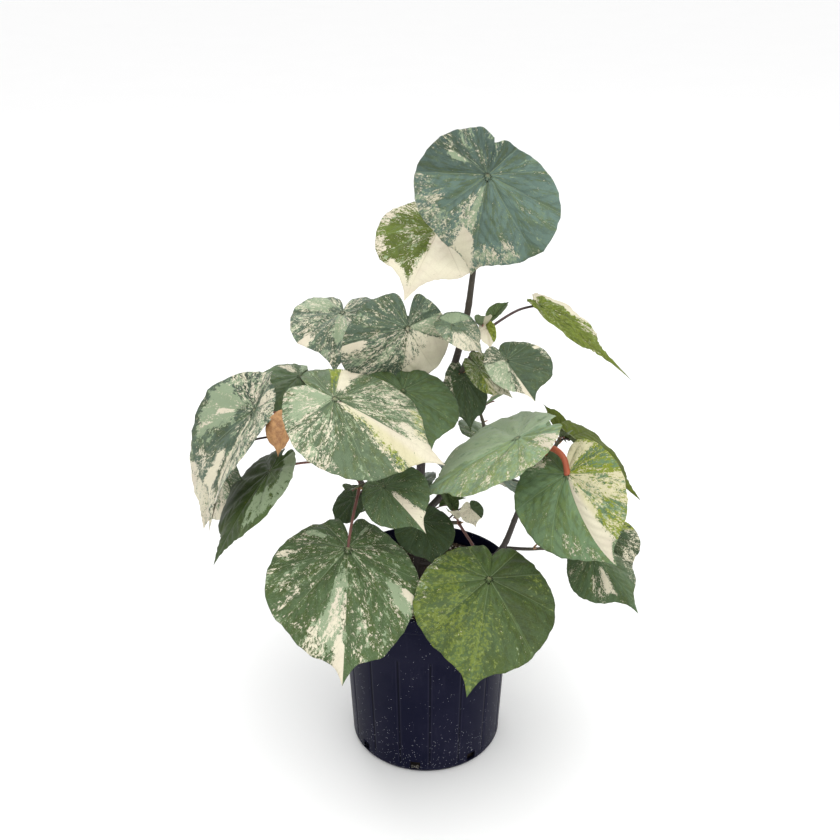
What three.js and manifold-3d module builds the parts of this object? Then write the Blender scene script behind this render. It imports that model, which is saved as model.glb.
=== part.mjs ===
// A variegated sea hibiscus, about a metre tall, growing in a black nursery pot.
//
// Units are millimetres, +Z is up, and the origin is the middle of the pot's flat underside.
// The crown opens towards -Y. Angles are in degrees. Every limb, shoot and leaf below is one
// entry of real sizes; the functions after them turn the entries into closed solids.

import * as THREE from 'three';
import { mergeVertices } from 'three/addons/utils/BufferGeometryUtils.js';
import Module from 'manifold-3d';

const wasm = await Module();
wasm.setup();

// ---------------------------------------------------------------- driving sizes

const POT = {
  height: 305,          // outside, foot to rim
  footRadius: 121,
  topRadius: 138,
  wall: 2.6,
  footRound: 7,         // chamfer round the foot
  bandHeight: 26,       // thicker band under the rim
  bandStep: 3,          // how far the band stands out of the wall
  holes: 8,             // drain holes low in the wall
  holeWidth: 16,
  holeHeight: 11,
  holeReach: 40,        // each hole is cut this far in and out across the wall
  holeTurn: 36.5,       // heading of the first, in degrees
  sides: 36,
};
const MIX_DEPTH_BELOW_RIM = 24;
const MIX_MOUND = 8;    // the potting mix rises this much towards the stem
const MIX_PLATEAU = 34; // radius of the flat top of the mound
const SOIL_LEVEL = POT.height - MIX_DEPTH_BELOW_RIM + MIX_MOUND;
const GAP = 0.3;        // clearance between solids that touch on the plant

const LIMB_SIDES = 8;
const TRUNK_STEPS = 14;
const BOUGH_STEPS = 8;
const STEM_SIDES = 5;
const STEM_STEPS = 4;
const PETIOLE = {
  sides: 4,
  steps: 3,
  thin: 1.5,            // radius of the thinnest, in mm
  thicken: 0.007,       // more radius for each mm of blade
  taper: 0.8,           // radius at the blade, as a part of that at the stem
  middle: 0.55,         // where the bend is, as a part of the way
  rise: 0.08,           // how high it arches, and how far below and behind the joint
  below: 0.12,          // it comes from, as parts of its span
  behind: 0.1,
  pull: 0.35,
  lastNode: 0.96,       // where on the stem the last petiole leaves it
};
const BLADE_SPOKES = [0, 11, 34, 62, 92, 122, 148, 168, 180];   // degrees from the leaf's tip
const BLADE_THICKNESS = 0.014;     // of the blade's length
const MIN_THICKNESS = 1.3;
const SIMPLIFY = 0.1;               // slivers thinner than this are merged away where leaves join
const STRONG_DROOP = 35;           // blades that bend more get a third ring of faces

const COLOUR = { pot: 0x16162a, mix: 0x2c2420, bark: 0x4a3d38, leaf: 0x4d6b45 };

// Heart-shaped outline: distance from the petiole's junction to the margin, as parts of the
// blade's length, at an angle of a degrees from the tip:
// body + lean cos a + oval cos 2a + drip exp(-a / dripWidth) - notch exp(-((180 - a) / notchWidth)^2)
const OUTLINE = {
  body: 0.56, lean: 0.21, oval: 0.03, drip: 0.20, dripWidth: 8, notch: 0.35, notchWidth: 16,
};
// Waves of the blade's surface, as a part of its length, where a leaf doesn't state its own.
const PLAIN_WAVE = 0.012;

// Young leaves sprout in a rosette from a stem's tip, each a seeded amount away from an even spiral.
const YOUNG = {
  seed: 17,
  perShoot: 2,
  spiral: 137.5,        // degrees between neighbours
  turnSpread: 50,
  rise: [20, 50],       // degrees above level
  length: [26, 40],
  petiole: 20,          // plus a third of the leaf's length
  width: 0.66,
  fold: 32,
  spokes: [0, 30, 80, 125, 160, 180],
};

// ---------------------------------------------------------------- stems and boughs

// Each limb runs through its points, thick at the first and thin at the last.
const TRUNK = {
  path: [[-10, 6, 262], [-12, 8, 360], [-10, 10, 450], [-4, 14, 530], [16, 18, 590], [37, 20, 640],
    [48, 20, 680], [58, 20, 730], [66, 20, 800]],
  radius: [8.5, 4.2],
  flare: 5,             // extra radius where the roots start
  flareHeight: 24,      // the path starts below the soil, where the trunk is cut off level
};
const BOUGHS = {
  bough_left: { path: [[-12, 7, 335], [-45, -8, 390], [-85, -25, 455], [-110, -32, 505]], radius: [6, 4] },
  bough_right: {
    path: [[-12, 6, 316], [40, -26, 332], [92, -58, 360], [113, -70, 391], [137, -80, 469],
      [166, -84, 535]],
    radius: [6.5, 4.8],
  },
  bough_front: { path: [[-12, 8, 400], [-28, -35, 440], [-60, -70, 500]], radius: [5, 3.6] },
  bough_back_left: { path: [[-12, 8, 365], [-32, 50, 410], [-50, 90, 470]], radius: [5.5, 3.8] },
  bough_back_right: { path: [[-11, 9, 395], [35, 48, 430], [85, 90, 475]], radius: [5.2, 3.6] },
};

// ---------------------------------------------------------------- shoots and leaves

// A leaf is joint (where petiole and blade meet), length from joint to tip, heading of the midrib in
// plan (0 = +X, 90 = +Y), dip below level, roll about the midrib, droop (bend over the length), and
// where they differ from plain, the widths and folds of its left and right halves, and its waviness.
// A shoot's stem starts on its limb, and its petioles leave it one after another in the listed order.
const SHOOTS = {
  foliage_top: {
    on: 'trunk', stem: [[66, 20, 800], [72, 16, 850], [75, 4, 895]], radius: [4.1, 2.6],
    leaves: [
      { name: 'lime', joint: [18, 80, 838], length: 144, heading: -112, dip: 24, roll: -10, droop: 6,
        fold: [5, 6] },
      { name: 'rear', joint: [95, 96, 900], length: 137, heading: 58, dip: 22, roll: 6, droop: 26 },
      { name: 'head', joint: [77, -80, 958], length: 176, heading: -65, dip: 108, roll: 39, droop: 15,
        width: [1.04, 1], fold: [1, -7] },
    ],
  },
  foliage_upper_right: {
    on: 'trunk', stem: [[36, 18, 628], [52, 2, 650], [70, -4, 690], [78, -2, 712]], radius: [3.8, 2.6],
    leaves: [
      { name: 'fold', joint: [54, -4, 640], length: 83, heading: -64, dip: 35, roll: -10, droop: 20,
        width: [0.84, 0.7] },
      { name: 'heart', joint: [109, -70, 696], length: 95, heading: -66, dip: 32, roll: -14, droop: 0,
        width: [1.16, 0.94], fold: [16, 36] },
      { name: 'stripe', joint: [100, -42, 690], length: 66, heading: -62, dip: 35, roll: -12, droop: 25,
        width: [0.9, 0.85] },
      { name: 'curl', joint: [90, -22, 730], length: 42, heading: -70, dip: 35, roll: 10, droop: 20,
        fold: [25, 25] },
      { name: 'wing', joint: [160, 30, 741], length: 168, heading: -28, dip: 33, roll: -27, droop: 0,
        width: [0.72, 0.8], fold: [18, 24] },
    ],
  },
  foliage_upper_left: {
    on: 'trunk', stem: [[48, 20, 678], [24, 16, 700], [4, 12, 712]], radius: [3.4, 2.4],
    leaves: [
      { name: 'drape', joint: [22, -42, 756], length: 76, heading: -50, dip: 48, roll: -10, droop: 15,
        width: [0.95, 0.95], fold: [12, 12] },
      { name: 'rear', joint: [-50, 140, 658], length: 114, heading: 143, dip: 34, roll: -4, droop: 32 },
      { name: 'right', joint: [-27, -30, 729], length: 135, heading: -106, dip: 78, roll: -29, droop: 70,
        width: [0.86, 1.22], fold: [-22, 3] },
      { name: 'left', joint: [-125, 70, 713], length: 123, heading: -94, dip: 12, roll: 3, droop: 26,
        width: [1, 1.05], fold: [5, 10] },
    ],
  },
  foliage_centre: {
    on: 'trunk', stem: [[-4, 14, 530], [-14, -8, 556], [-26, -28, 590]], radius: [4, 2.8],
    leaves: [
      { name: 'low', joint: [-61, -150, 541], length: 95, heading: -55, dip: 8, roll: 27, droop: 40,
        width: [0.97, 0.8], fold: [-6, -15] },
      { name: 'dark', joint: [-34, -60, 646], length: 124, heading: -69, dip: 20, roll: -6, droop: 12,
        fold: [4, 5] },
      { name: 'broad', joint: [-124, -150, 675], length: 172, heading: -21, dip: 18, roll: 26, droop: 20,
        width: [1, 1.06], fold: [-26, 0] },
    ],
  },
  foliage_left: {
    on: 'bough_left', stem: [[-110, -32, 505], [-128, -30, 535], [-150, -16, 572]], radius: [3.9, 2.5],
    leaves: [
      { name: 'pair_front', joint: [-230, -50, 512], length: 160, heading: -133, dip: 33, roll: 25,
        droop: 17, width: [0.8, 0.92], fold: [-6, 0] },
      { name: 'dry', joint: [-188, -72, 578], length: 52, heading: -130, dip: 55, roll: 10, droop: 20,
        width: [0.7, 0.7], fold: [20, 20] },
      { name: 'pair_rear', joint: [-254, 0, 586], length: 206, heading: -139, dip: 51, roll: 14, droop: 15,
        fold: [14, 13], wave: 0.035 },
      { name: 'pair_low', joint: [-300, 68, 502], length: 97, heading: -130, dip: 52, roll: 5, droop: 10,
        wave: 0.03 },
      { name: 'behind', joint: [-196, 100, 597], length: 95, heading: -116, dip: 6, roll: -13, droop: 26,
        fold: [-14, -10] },
    ],
  },
  foliage_front_left: {
    on: 'bough_front', stem: [[-60, -70, 500], [-80, -88, 512], [-98, -100, 512]], radius: [3.5, 2.8],
    leaves: [
      { name: 'small', joint: [-107, -60, 471], length: 54, heading: -150, dip: 45, roll: -4, droop: 0 },
      { name: 'great', joint: [-110, -180, 460], length: 198, heading: -88, dip: 19, roll: -8, droop: 32,
        width: [0.94, 1], fold: [-12, -13] },
    ],
  },
  foliage_front_right: {
    on: 'trunk', stem: [[-12, 8, 372], [18, -28, 408], [50, -62, 430]], radius: [4, 2.8],
    leaves: [
      { name: 'inner', joint: [-8, -88, 448], length: 78, heading: -70, dip: 25, roll: 0, droop: 20 },
      { name: 'young', joint: [64, -84, 462], length: 40, heading: -60, dip: 60, roll: 10, droop: 0,
        width: [0.85, 0.85] },
      { name: 'great', joint: [86, -200, 423], length: 171, heading: -99, dip: 21, roll: -17, droop: 30,
        fold: [3, -14] },
    ],
  },
  foliage_right: {
    on: 'bough_right', stem: [[166, -84, 535], [178, -84, 560], [190, -70, 574]], radius: [4.6, 2.8],
    leaves: [
      { name: 'front', joint: [193, -140, 555], length: 153, heading: -83, dip: 31, roll: 46, droop: 70,
        width: [0.86, 0.94], fold: [-10, 16], petiole: 4.6, arch: 34 },
      { name: 'across', joint: [125, -126, 604], length: 169, heading: -171, dip: 25, roll: 6, droop: 13,
        width: [0.92, 0.9], fold: [-5, 0] },
      { name: 'rear', joint: [207, -40, 560], length: 138, heading: -22, dip: 36, roll: -14, droop: 0,
        width: [0.9, 0.9], fold: [16, 19] },
      { name: 'bud', joint: [200, -4, 552], length: 63, heading: 150, dip: -48, roll: 0, droop: 5,
        width: [0.55, 0.55], fold: [25, 25] },
    ],
  },
  foliage_low_right: {
    on: 'bough_right', stem: [[113, -70, 391], [161, -70, 389], [200, -66, 392]], radius: [3, 2.2],
    young: 0,
    leaves: [
      { name: 'front', joint: [246, -72, 384], length: 120, heading: -62, dip: 2, roll: 14, droop: 46,
        width: [0.84, 0.86], fold: [-34, -34] },
      { name: 'rear', joint: [262, 5, 372], length: 100, heading: -56, dip: 10, roll: 10, droop: 30 },
    ],
  },
  foliage_back_left: {
    on: 'bough_back_left', stem: [[-50, 90, 470], [-54, 112, 500], [-52, 128, 530]], radius: [3.7, 2.5],
    leaves: [
      { name: 'low', joint: [-68, 142, 486], length: 160, heading: 143, dip: 28, roll: -5, droop: 28 },
      { name: 'inner', joint: [4, 184, 488], length: 160, heading: 128, dip: 26, roll: -7, droop: 27 },
      { name: 'high', joint: [-60, 167, 549], length: 148, heading: 116, dip: 23, roll: 6, droop: 27 },
    ],
  },
  foliage_back_right: {
    on: 'bough_back_right', stem: [[85, 90, 475], [92, 108, 500], [84, 122, 530]], radius: [3.5, 2.4],
    leaves: [
      { name: 'low', joint: [177, 140, 412], length: 162, heading: 11, dip: 39, roll: 8, droop: 28 },
      { name: 'inner', joint: [114, 204, 428], length: 161, heading: 34, dip: 27, roll: 8, droop: 27 },
      { name: 'high', joint: [39, 148, 562], length: 116, heading: 108, dip: 29, roll: -4, droop: 24 },
    ],
  },
  foliage_back_low: {
    on: 'trunk', stem: [[-12, 8, 330], [0, 50, 350], [4, 90, 362]], radius: [4, 2.8],
    leaves: [
      { name: 'left', joint: [-51, 149, 362], length: 164, heading: 127, dip: 28, roll: -6, droop: 22 },
      { name: 'right', joint: [84, 180, 385], length: 150, heading: 47, dip: 24, roll: -7, droop: 32 },
    ],
  },
};

// ---------------------------------------------------------------- vectors and solids

const radians = THREE.MathUtils.degToRad;
const vector = (p) => new THREE.Vector3(...p);

// Closed geometry from a list of points and triangles.
function closed(points, faces) {
  const geometry = new THREE.BufferGeometry();
  const values = points.flatMap((p) => [p.x, p.y, p.z]);
  geometry.setAttribute('position', new THREE.Float32BufferAttribute(values, 3));
  geometry.setIndex(faces.flat());
  return geometry;
}

function toSolid(geometry) {
  const bare = geometry.clone();
  bare.deleteAttribute('normal');
  bare.deleteAttribute('uv');
  const merged = mergeVertices(bare, 1e-4);
  return new wasm.Manifold(new wasm.Mesh({
    numProp: 3,
    vertProperties: new Float32Array(merged.attributes.position.array),
    triVerts: new Uint32Array(merged.index.array),
  }));
}

function toGeometry(solid) {
  const mesh = solid.getMesh();
  const geometry = new THREE.BufferGeometry();
  geometry.setAttribute('position', new THREE.BufferAttribute(mesh.vertProperties, 3));
  geometry.setIndex(new THREE.BufferAttribute(mesh.triVerts, 1));
  return geometry;
}

// A round limb swept along a smooth curve, radiusAt(t) thick, closed by a flat cap at each end.
function limbGeometry(path, radiusAt, sides, steps) {
  const curve = new THREE.CatmullRomCurve3(path.map(vector));
  const frames = curve.computeFrenetFrames(steps, false);
  const points = [];
  const faces = [];
  for (let i = 0; i <= steps; i += 1) {
    const centre = curve.getPointAt(i / steps);
    for (let j = 0; j < sides; j += 1) {
      const turn = (2 * Math.PI * j) / sides;
      const spoke = frames.normals[i].clone().multiplyScalar(Math.cos(turn))
        .addScaledVector(frames.binormals[i], Math.sin(turn));
      points.push(centre.clone().addScaledVector(spoke, radiusAt(i / steps)));
    }
  }
  for (let i = 0; i < steps; i += 1) {
    for (let j = 0; j < sides; j += 1) {
      const [a, b] = [i * sides + j, i * sides + ((j + 1) % sides)];
      faces.push([a, b, b + sides], [a, b + sides, a + sides]);
    }
  }
  const last = steps * sides;
  for (let j = 1; j < sides - 1; j += 1) {
    faces.push([0, j + 1, j], [last, last + j, last + j + 1]);
  }
  return closed(points, faces);
}

// A path carried on past its last point by the gap.
function lengthened(path) {
  const [before, last] = path.slice(-2).map(vector);
  return [...path.slice(0, -1), last.addScaledVector(last.clone().sub(before).normalize(), GAP).toArray()];
}

const taper = ([thick, thin], extra = 0) => (t) => thick + (thin - thick) * t + extra;

function trunkRadius(extra = 0) {
  const length = new THREE.CatmullRomCurve3(TRUNK.path.map(vector)).getLength();
  const plain = taper(TRUNK.radius, extra);
  return (t) => plain(t) + TRUNK.flare * Math.exp((-t * length) / TRUNK.flareHeight);
}

// ---------------------------------------------------------------- leaves

// Right, forward and up directions of a leaf's blade at its joint.
function leafAxes({ heading, dip, roll }) {
  const [h, d, r] = [heading, dip, roll].map(radians);
  const forward = new THREE.Vector3(Math.cos(h) * Math.cos(d), Math.sin(h) * Math.cos(d), -Math.sin(d));
  const level = new THREE.Vector3(Math.cos(h) * Math.sin(d), Math.sin(h) * Math.sin(d), Math.cos(d));
  const side = forward.clone().cross(level);
  return {
    forward,
    right: side.clone().multiplyScalar(Math.cos(r)).addScaledVector(level, -Math.sin(r)),
    up: level.clone().multiplyScalar(Math.cos(r)).addScaledVector(side, Math.sin(r)),
  };
}

function outline(angle) {
  const a = Math.abs(angle);
  const o = OUTLINE;
  return o.body + o.lean * Math.cos(radians(a)) + o.oval * Math.cos(radians(2 * a))
    + o.drip * Math.exp(-a / o.dripWidth) - o.notch * Math.exp(-(((180 - a) / o.notchWidth) ** 2));
}

// A point of the blade: part of the way from joint to margin, at an angle from the tip, and lifted
// off the middle surface. The midrib bends evenly by droop; each half folds up from it.
function bladePoint(leaf, axes, part, angle, lift) {
  const side = Math.sin(radians(angle)) > 0 ? 1 : 0;
  const reach = outline(angle) * leaf.length * part;
  const across = reach * Math.sin(radians(angle)) * (leaf.width ?? [1, 1])[side];
  const along = reach * Math.cos(radians(angle));
  const fold = radians((leaf.fold ?? [0, 0])[side]);
  const bend = radians(leaf.droop || 0.01) / leaf.length;
  const depth = (leaf.wave ?? PLAIN_WAVE) * leaf.length * part * part;
  const wave = depth * Math.sin(radians(3 * angle + leaf.length));
  const rise = Math.abs(across) * Math.sin(fold) + wave + lift;
  const turn = along * bend;
  return vector(leaf.joint)
    .addScaledVector(axes.right, across * Math.cos(fold))
    .addScaledVector(axes.forward, Math.sin(turn) / bend + rise * Math.sin(turn))
    .addScaledVector(axes.up, (Math.cos(turn) - 1) / bend + rise * Math.cos(turn));
}

// The blade is a fan of rings round the joint, once for each face, joined along the margin.
function bladeGeometry(leaf) {
  const axes = leafAxes(leaf);
  const spokes = leaf.spokes ?? BLADE_SPOKES;
  const angles = [...spokes, ...spokes.slice(1, -1).reverse().map((a) => -a)];
  const rings = leaf.spokes ? [1] : leaf.droop > STRONG_DROOP ? [0.4, 0.74, 1] : [0.55, 1];
  const half = Math.max(BLADE_THICKNESS * leaf.length, MIN_THICKNESS) / 2;
  const n = angles.length;
  const points = [];
  const faces = [];
  for (const lift of [half, -half]) {
    points.push(bladePoint(leaf, axes, 0, 0, lift));
    rings.forEach((part) => angles.forEach((a) => points.push(bladePoint(leaf, axes, part, a, lift))));
  }
  const under = 1 + rings.length * n;
  const addFace = (a, b, c) => faces.push([a, c, b], [a + under, b + under, c + under]);
  for (let j = 0; j < n; j += 1) {
    const k = (j + 1) % n;
    addFace(0, 1 + j, 1 + k);
    for (let i = 1; i < rings.length; i += 1) {
      const [inner, outer] = [1 + (i - 1) * n, 1 + i * n];
      addFace(inner + j, outer + j, outer + k);
      addFace(inner + j, outer + k, inner + k);
    }
    const rim = 1 + (rings.length - 1) * n;
    faces.push([rim + j, rim + k, rim + k + under], [rim + j, rim + k + under, rim + j + under]);
  }
  return closed(points, faces);
}

// A repeatable number from 0 to 1 for each whole number.
function chance(n) {
  const v = Math.sin(n * 12.9898) * 43758.5453;
  return v - Math.floor(v);
}

const between = ([low, high], share) => low + (high - low) * share;

function youngLeaves(tip, order, count) {
  return Array.from({ length: count }, (_, k) => {
    const n = YOUNG.seed + 20 * order + 4 * k;
    const length = between(YOUNG.length, chance(n));
    const heading = YOUNG.spiral * k + 360 * chance(20 * order) + YOUNG.turnSpread * (chance(n + 1) - 0.5);
    const leaf = { length, heading, dip: -between(YOUNG.rise, chance(n + 2)), roll: 0, droop: 12,
      width: [YOUNG.width, YOUNG.width], fold: [YOUNG.fold, YOUNG.fold], spokes: YOUNG.spokes };
    leaf.joint = tip.clone().addScaledVector(leafAxes(leaf).forward, YOUNG.petiole + length / 3).toArray();
    return leaf;
  });
}

// The petiole rises from its stem and comes to the joint from under the blade.
function petioleGeometry(leaf, start, stemRadius) {
  const joint = vector(leaf.joint);
  const axes = leafAxes(leaf);
  const span = start.distanceTo(joint);
  const middle = start.clone().lerp(joint, PETIOLE.middle);
  middle.z += leaf.arch ?? PETIOLE.rise * span;
  const below = joint.clone().addScaledVector(axes.up, -PETIOLE.below * span)
    .addScaledVector(axes.forward, -PETIOLE.behind * span);
  const path = leaf.arch ? [start, middle, joint] : [start, middle.lerp(below, PETIOLE.pull), joint];
  const thick = leaf.petiole ?? Math.min(PETIOLE.thin + PETIOLE.thicken * leaf.length, stemRadius);
  const radiusAt = taper([thick, PETIOLE.taper * thick]);
  return limbGeometry(path.map((p) => p.toArray()), radiusAt, PETIOLE.sides, PETIOLE.steps);
}

// ---------------------------------------------------------------- nodes

const plant = new THREE.Group();

function addNode(name, geometry, colour, roughness) {
  const material = new THREE.MeshStandardMaterial({ color: colour, roughness, metalness: 0 });
  const mesh = new THREE.Mesh(geometry, material);
  mesh.name = name;
  plant.add(mesh);
}

// Radius of the pot's outer wall at a height.
function potRadius(z) {
  return POT.footRadius + ((POT.topRadius - POT.bandStep - POT.footRadius) * z) / POT.height;
}

// A profile of [radius, height] pairs turned round the vertical axis.
function turned(profile) {
  const points = profile.map(([r, z]) => new THREE.Vector2(r, z));
  return toSolid(new THREE.LatheGeometry(points, POT.sides).rotateX(Math.PI / 2));
}

function buildPot() {
  const bandFoot = POT.height - POT.bandHeight;
  const profile = [
    [0, 0],
    [POT.footRadius - POT.footRound, 0],
    [potRadius(POT.footRound), POT.footRound],
    [potRadius(bandFoot), bandFoot],
    [POT.topRadius, bandFoot + POT.bandStep],
    [POT.topRadius, POT.height],
    [POT.topRadius - POT.bandStep - POT.wall, POT.height],
    [potRadius(bandFoot) - POT.wall, bandFoot],
    [potRadius(POT.footRound) - POT.wall, POT.footRound + POT.wall],
    [potRadius(POT.footRound) - POT.wall - POT.footRound, POT.wall],
    [0, POT.wall],
  ];
  let solid = turned(profile);
  for (let i = 0; i < POT.holes; i += 1) {
    const hole = new THREE.BoxGeometry(POT.holeReach, POT.holeWidth, POT.holeHeight)
      .translate(POT.footRadius, 0, POT.footRound + POT.holeHeight / 2)
      .rotateZ(radians((360 * i) / POT.holes + POT.holeTurn));
    solid = solid.subtract(toSolid(hole));
  }
  addNode('pot', toGeometry(solid), COLOUR.pot, 0.5);
}

function buildMix() {
  const top = POT.height - MIX_DEPTH_BELOW_RIM;
  const floor = POT.wall + GAP;
  const inside = (z) => potRadius(z) - POT.wall - 2 * GAP;
  const profile = [
    [0, floor],
    [inside(POT.footRound) - POT.footRound, floor],
    [inside(POT.footRound), POT.footRound + POT.wall + GAP],
    [inside(top), top],
    [0.6 * inside(top), top + 0.5 * MIX_MOUND],
    [MIX_PLATEAU, SOIL_LEVEL],
    [0, SOIL_LEVEL],
  ];
  addNode('potting_mix', toGeometry(turned(profile)), COLOUR.mix, 0.95);
}

// Limbs are cut clear of the trunk, and shoots clear of their limb, by the standard gap.
const limbSolid = (path, radiusAt, steps) => toSolid(limbGeometry(path, radiusAt, LIMB_SIDES, steps));
const clearOf = (path, radiusAt, steps) => limbSolid(lengthened(path), radiusAt, steps);
const limbsClear = { trunk: clearOf(TRUNK.path, trunkRadius(GAP), TRUNK_STEPS) };

function buildLimbs() {
  const trunk = limbSolid(TRUNK.path, trunkRadius(), TRUNK_STEPS).trimByPlane([0, 0, 1], SOIL_LEVEL + GAP);
  addNode('trunk', toGeometry(trunk), COLOUR.bark, 0.85);
  for (const [name, { path, radius }] of Object.entries(BOUGHS)) {
    const bough = limbSolid(path, taper(radius), BOUGH_STEPS).subtract(limbsClear.trunk);
    addNode(name, toGeometry(bough), COLOUR.bark, 0.85);
    limbsClear[name] = clearOf(path, taper(radius, GAP), BOUGH_STEPS);
  }
}

function buildShoot(name, shoot, order) {
  const curve = new THREE.CatmullRomCurve3(shoot.stem.map(vector));
  const tip = curve.getPointAt(0.98);
  let solid = toSolid(limbGeometry(shoot.stem, taper(shoot.radius), STEM_SIDES, STEM_STEPS));
  shoot.leaves.forEach((leaf, i) => {
    const base = curve.getPointAt(Math.min((i + 1) / shoot.leaves.length, PETIOLE.lastNode));
    solid = solid.add(toSolid(petioleGeometry(leaf, base, shoot.radius[1])));
    solid = solid.add(toSolid(bladeGeometry(leaf)));
  });
  youngLeaves(tip, order, shoot.young ?? YOUNG.perShoot).forEach((leaf) => {
    solid = solid.add(toSolid(petioleGeometry(leaf, tip, shoot.radius[1])));
    solid = solid.add(toSolid(bladeGeometry(leaf)));
  });
  const cleared = solid.asOriginal().simplify(SIMPLIFY).subtract(limbsClear[shoot.on]);
  const [shootSolid] = cleared.decompose().sort((a, b) => b.volume() - a.volume());
  addNode(name, toGeometry(shootSolid), COLOUR.leaf, 0.7);
}

buildPot();
buildMix();
buildLimbs();
Object.entries(SHOOTS).forEach(([name, shoot], order) => buildShoot(name, shoot, order));

export default plant;
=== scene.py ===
"""Looks of the potted hibiscus: fine limbs, leaf stalks, leaf blades and pot, built round its CAD frame."""

import math

import bpy
import numpy as np
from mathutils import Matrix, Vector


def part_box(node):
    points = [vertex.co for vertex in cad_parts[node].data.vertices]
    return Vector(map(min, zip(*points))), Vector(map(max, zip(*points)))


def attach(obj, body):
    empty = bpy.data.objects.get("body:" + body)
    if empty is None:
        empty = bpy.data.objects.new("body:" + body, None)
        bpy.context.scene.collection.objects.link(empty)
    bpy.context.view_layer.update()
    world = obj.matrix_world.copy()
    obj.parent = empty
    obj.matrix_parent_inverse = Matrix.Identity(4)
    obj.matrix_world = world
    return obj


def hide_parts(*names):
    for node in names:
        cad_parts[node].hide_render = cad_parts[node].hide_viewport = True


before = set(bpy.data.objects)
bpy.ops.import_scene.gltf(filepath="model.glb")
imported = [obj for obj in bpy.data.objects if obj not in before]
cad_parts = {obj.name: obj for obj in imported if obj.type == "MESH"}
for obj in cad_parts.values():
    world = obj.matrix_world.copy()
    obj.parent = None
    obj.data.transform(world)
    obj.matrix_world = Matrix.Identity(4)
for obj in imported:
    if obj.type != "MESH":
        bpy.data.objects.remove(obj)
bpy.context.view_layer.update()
POT_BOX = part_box("pot")
SOIL_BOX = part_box("potting_mix")

bl_info = {
    "name": "Potted hibiscus",
    "version": (1, 0, 0),
    "blender": (4, 5, 0),
    "location": "3D View > Sidebar > Hibiscus",
    "description": "Builds a variegated hibiscus in a nursery pot, with its leaves, stems and soil",
    "category": "Add Mesh",
}

# ------------------------------------------------------------------ sizes of the plant

# The growth tables are in millimetres, and angles in degrees. Each limb runs through its points.
MM = 0.001
TRUNK = {
    "path": [(-10, 6, 262), (-12, 8, 360), (-10, 10, 450), (-4, 14, 530), (16, 18, 590), (37, 20, 640),
             (48, 20, 680), (58, 20, 730), (66, 20, 800)],
    "radius": (8.5, 4.2),
    "flare": 5,
    "flare_height": 24,
}
BOUGHS = {
    "bough_left": {"path": [(-12, 7, 335), (-45, -8, 390), (-85, -25, 455), (-110, -32, 505)],
                   "radius": (6, 4)},
    "bough_right": {"path": [(-12, 6, 316), (40, -26, 332), (92, -58, 360), (113, -70, 391), (137, -80, 469),
                             (166, -84, 535)], "radius": (5.4, 3.7)},
    "bough_front": {"path": [(-12, 8, 400), (-28, -35, 440), (-60, -70, 500)], "radius": (5, 3.6)},
    "bough_back_left": {"path": [(-12, 8, 365), (-32, 50, 410), (-50, 90, 470)], "radius": (5.5, 3.8)},
    "bough_back_right": {"path": [(-11, 9, 395), (35, 48, 430), (85, 90, 475)], "radius": (5.2, 3.6)},
}

# Shares of a limb's length at which old leaf scars ring it, and how far its young end is sprout-coloured.
SCARS = (0.16, 0.31, 0.45, 0.57, 0.69, 0.80, 0.90)
YOUNG_END = {"from": 0.35, "trunk": 0.12, "bough": 0.08}
TRUNK_CORE = 2.0

# Outline of a blade in parts of its length. Turns are in degrees from the tip, the notch's from the notch.
OUTLINE = {"body": 0.56, "lean": 0.21, "oval": 0.03, "drip_turn": 4.5, "tuck_at": 17, "tuck_turn": 11,
           "lobe_from": 70, "lobe_run": 80, "notch_turn": 10.0}
# What a plain leaf has: height of its waves, part taken off its lobes, tuck beside the tip, notch and drip.
PLAIN = {"wave": 0.012, "lobes": (0, 0), "tuck": 0.030, "notch": 0.13, "drip": 0.20}
# The main veins stand at even turns from the midrib, and side veins leave them like a leaning ladder.
VEIN_STEP = 37
VEIN_ANGLES = np.arange(-4, 5) * VEIN_STEP
LADDER_STEP, LADDER_LEAN = 0.105, 0.85
# Relief in parts of the length: how far from a vein its furrow ends and the swells and pleats begin, the
# plain middle round the joint, and the step of the lapped lobes with its turn in degrees.
RELIEF = {"furrow": 0.014, "swell": 0.06, "pleat": 0.04, "joint": 0.07, "lap": 0.012, "lap_turn": 20.0}
# Length of the blade that the vein depth is given for, and the droop of a straight leaf in degrees.
VEIN_BLADE = 0.1
STRAIGHT = 0.01
# The thin margin, the length in mm from which a blade has its full thickness, and the grid's crowding.
BLADE = {"thinned": 0.75, "full_from": 80, "spoke_crowding": 0.75, "ring_power": 0.85}
# Waves of a blade's margin: height as a part of the reach, number round it, and share of the leaf's turn.
MARGIN_WAVES = ((0.012, 5, 1), (0.006, 9, 2), (0.005, 23, 3), (0.004, 41, 5))
# A blade's plan in parts of its length, and the corner and size of each side's share of a baking cell.
PLAN_CORNER, PLAN_SIZE = np.array([-0.64, -0.42]), np.array([1.28, 1.44])
MAP_SHARES = (((0.0, 0.0), (0.68, 1.0)), ((0.70, 0.0), (0.30, 0.45)))
# Rings and sides or spokes of the grids, and the domes at a limb's two ends as parts of its radius.
LIMB_GRID, STALK_GRID, BLADE_GRID, YOUNG_GRID = (150, 28), (40, 12), (32, 128), (14, 64)
DOMES = (0.25, 0.6)

PETIOLE = {"thin": 1.4, "thicken": 0.0058, "young": 0.8, "middle": 0.55, "rise": 0.08, "below": 0.12,
           "behind": 0.1, "pull": 0.35, "last_node": 0.96, "tip": 0.98, "under": 2.2}
# Points of an arched stalk: share of the way, step to the side in mm, and part of the arch's height.
ARCH = ((0.25, -12, 0.78), (0.55, -7, 1.0), (0.85, -1, 0.72))
YOUNG = {"seed": 17, "per_shoot": 2, "spiral": 137.5, "turn_spread": 50, "rise": (20, 50),
         "length": (26, 40), "petiole": 20, "width": 0.66, "fold": 32, "droop": 12, "first_seed": 60}

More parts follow.
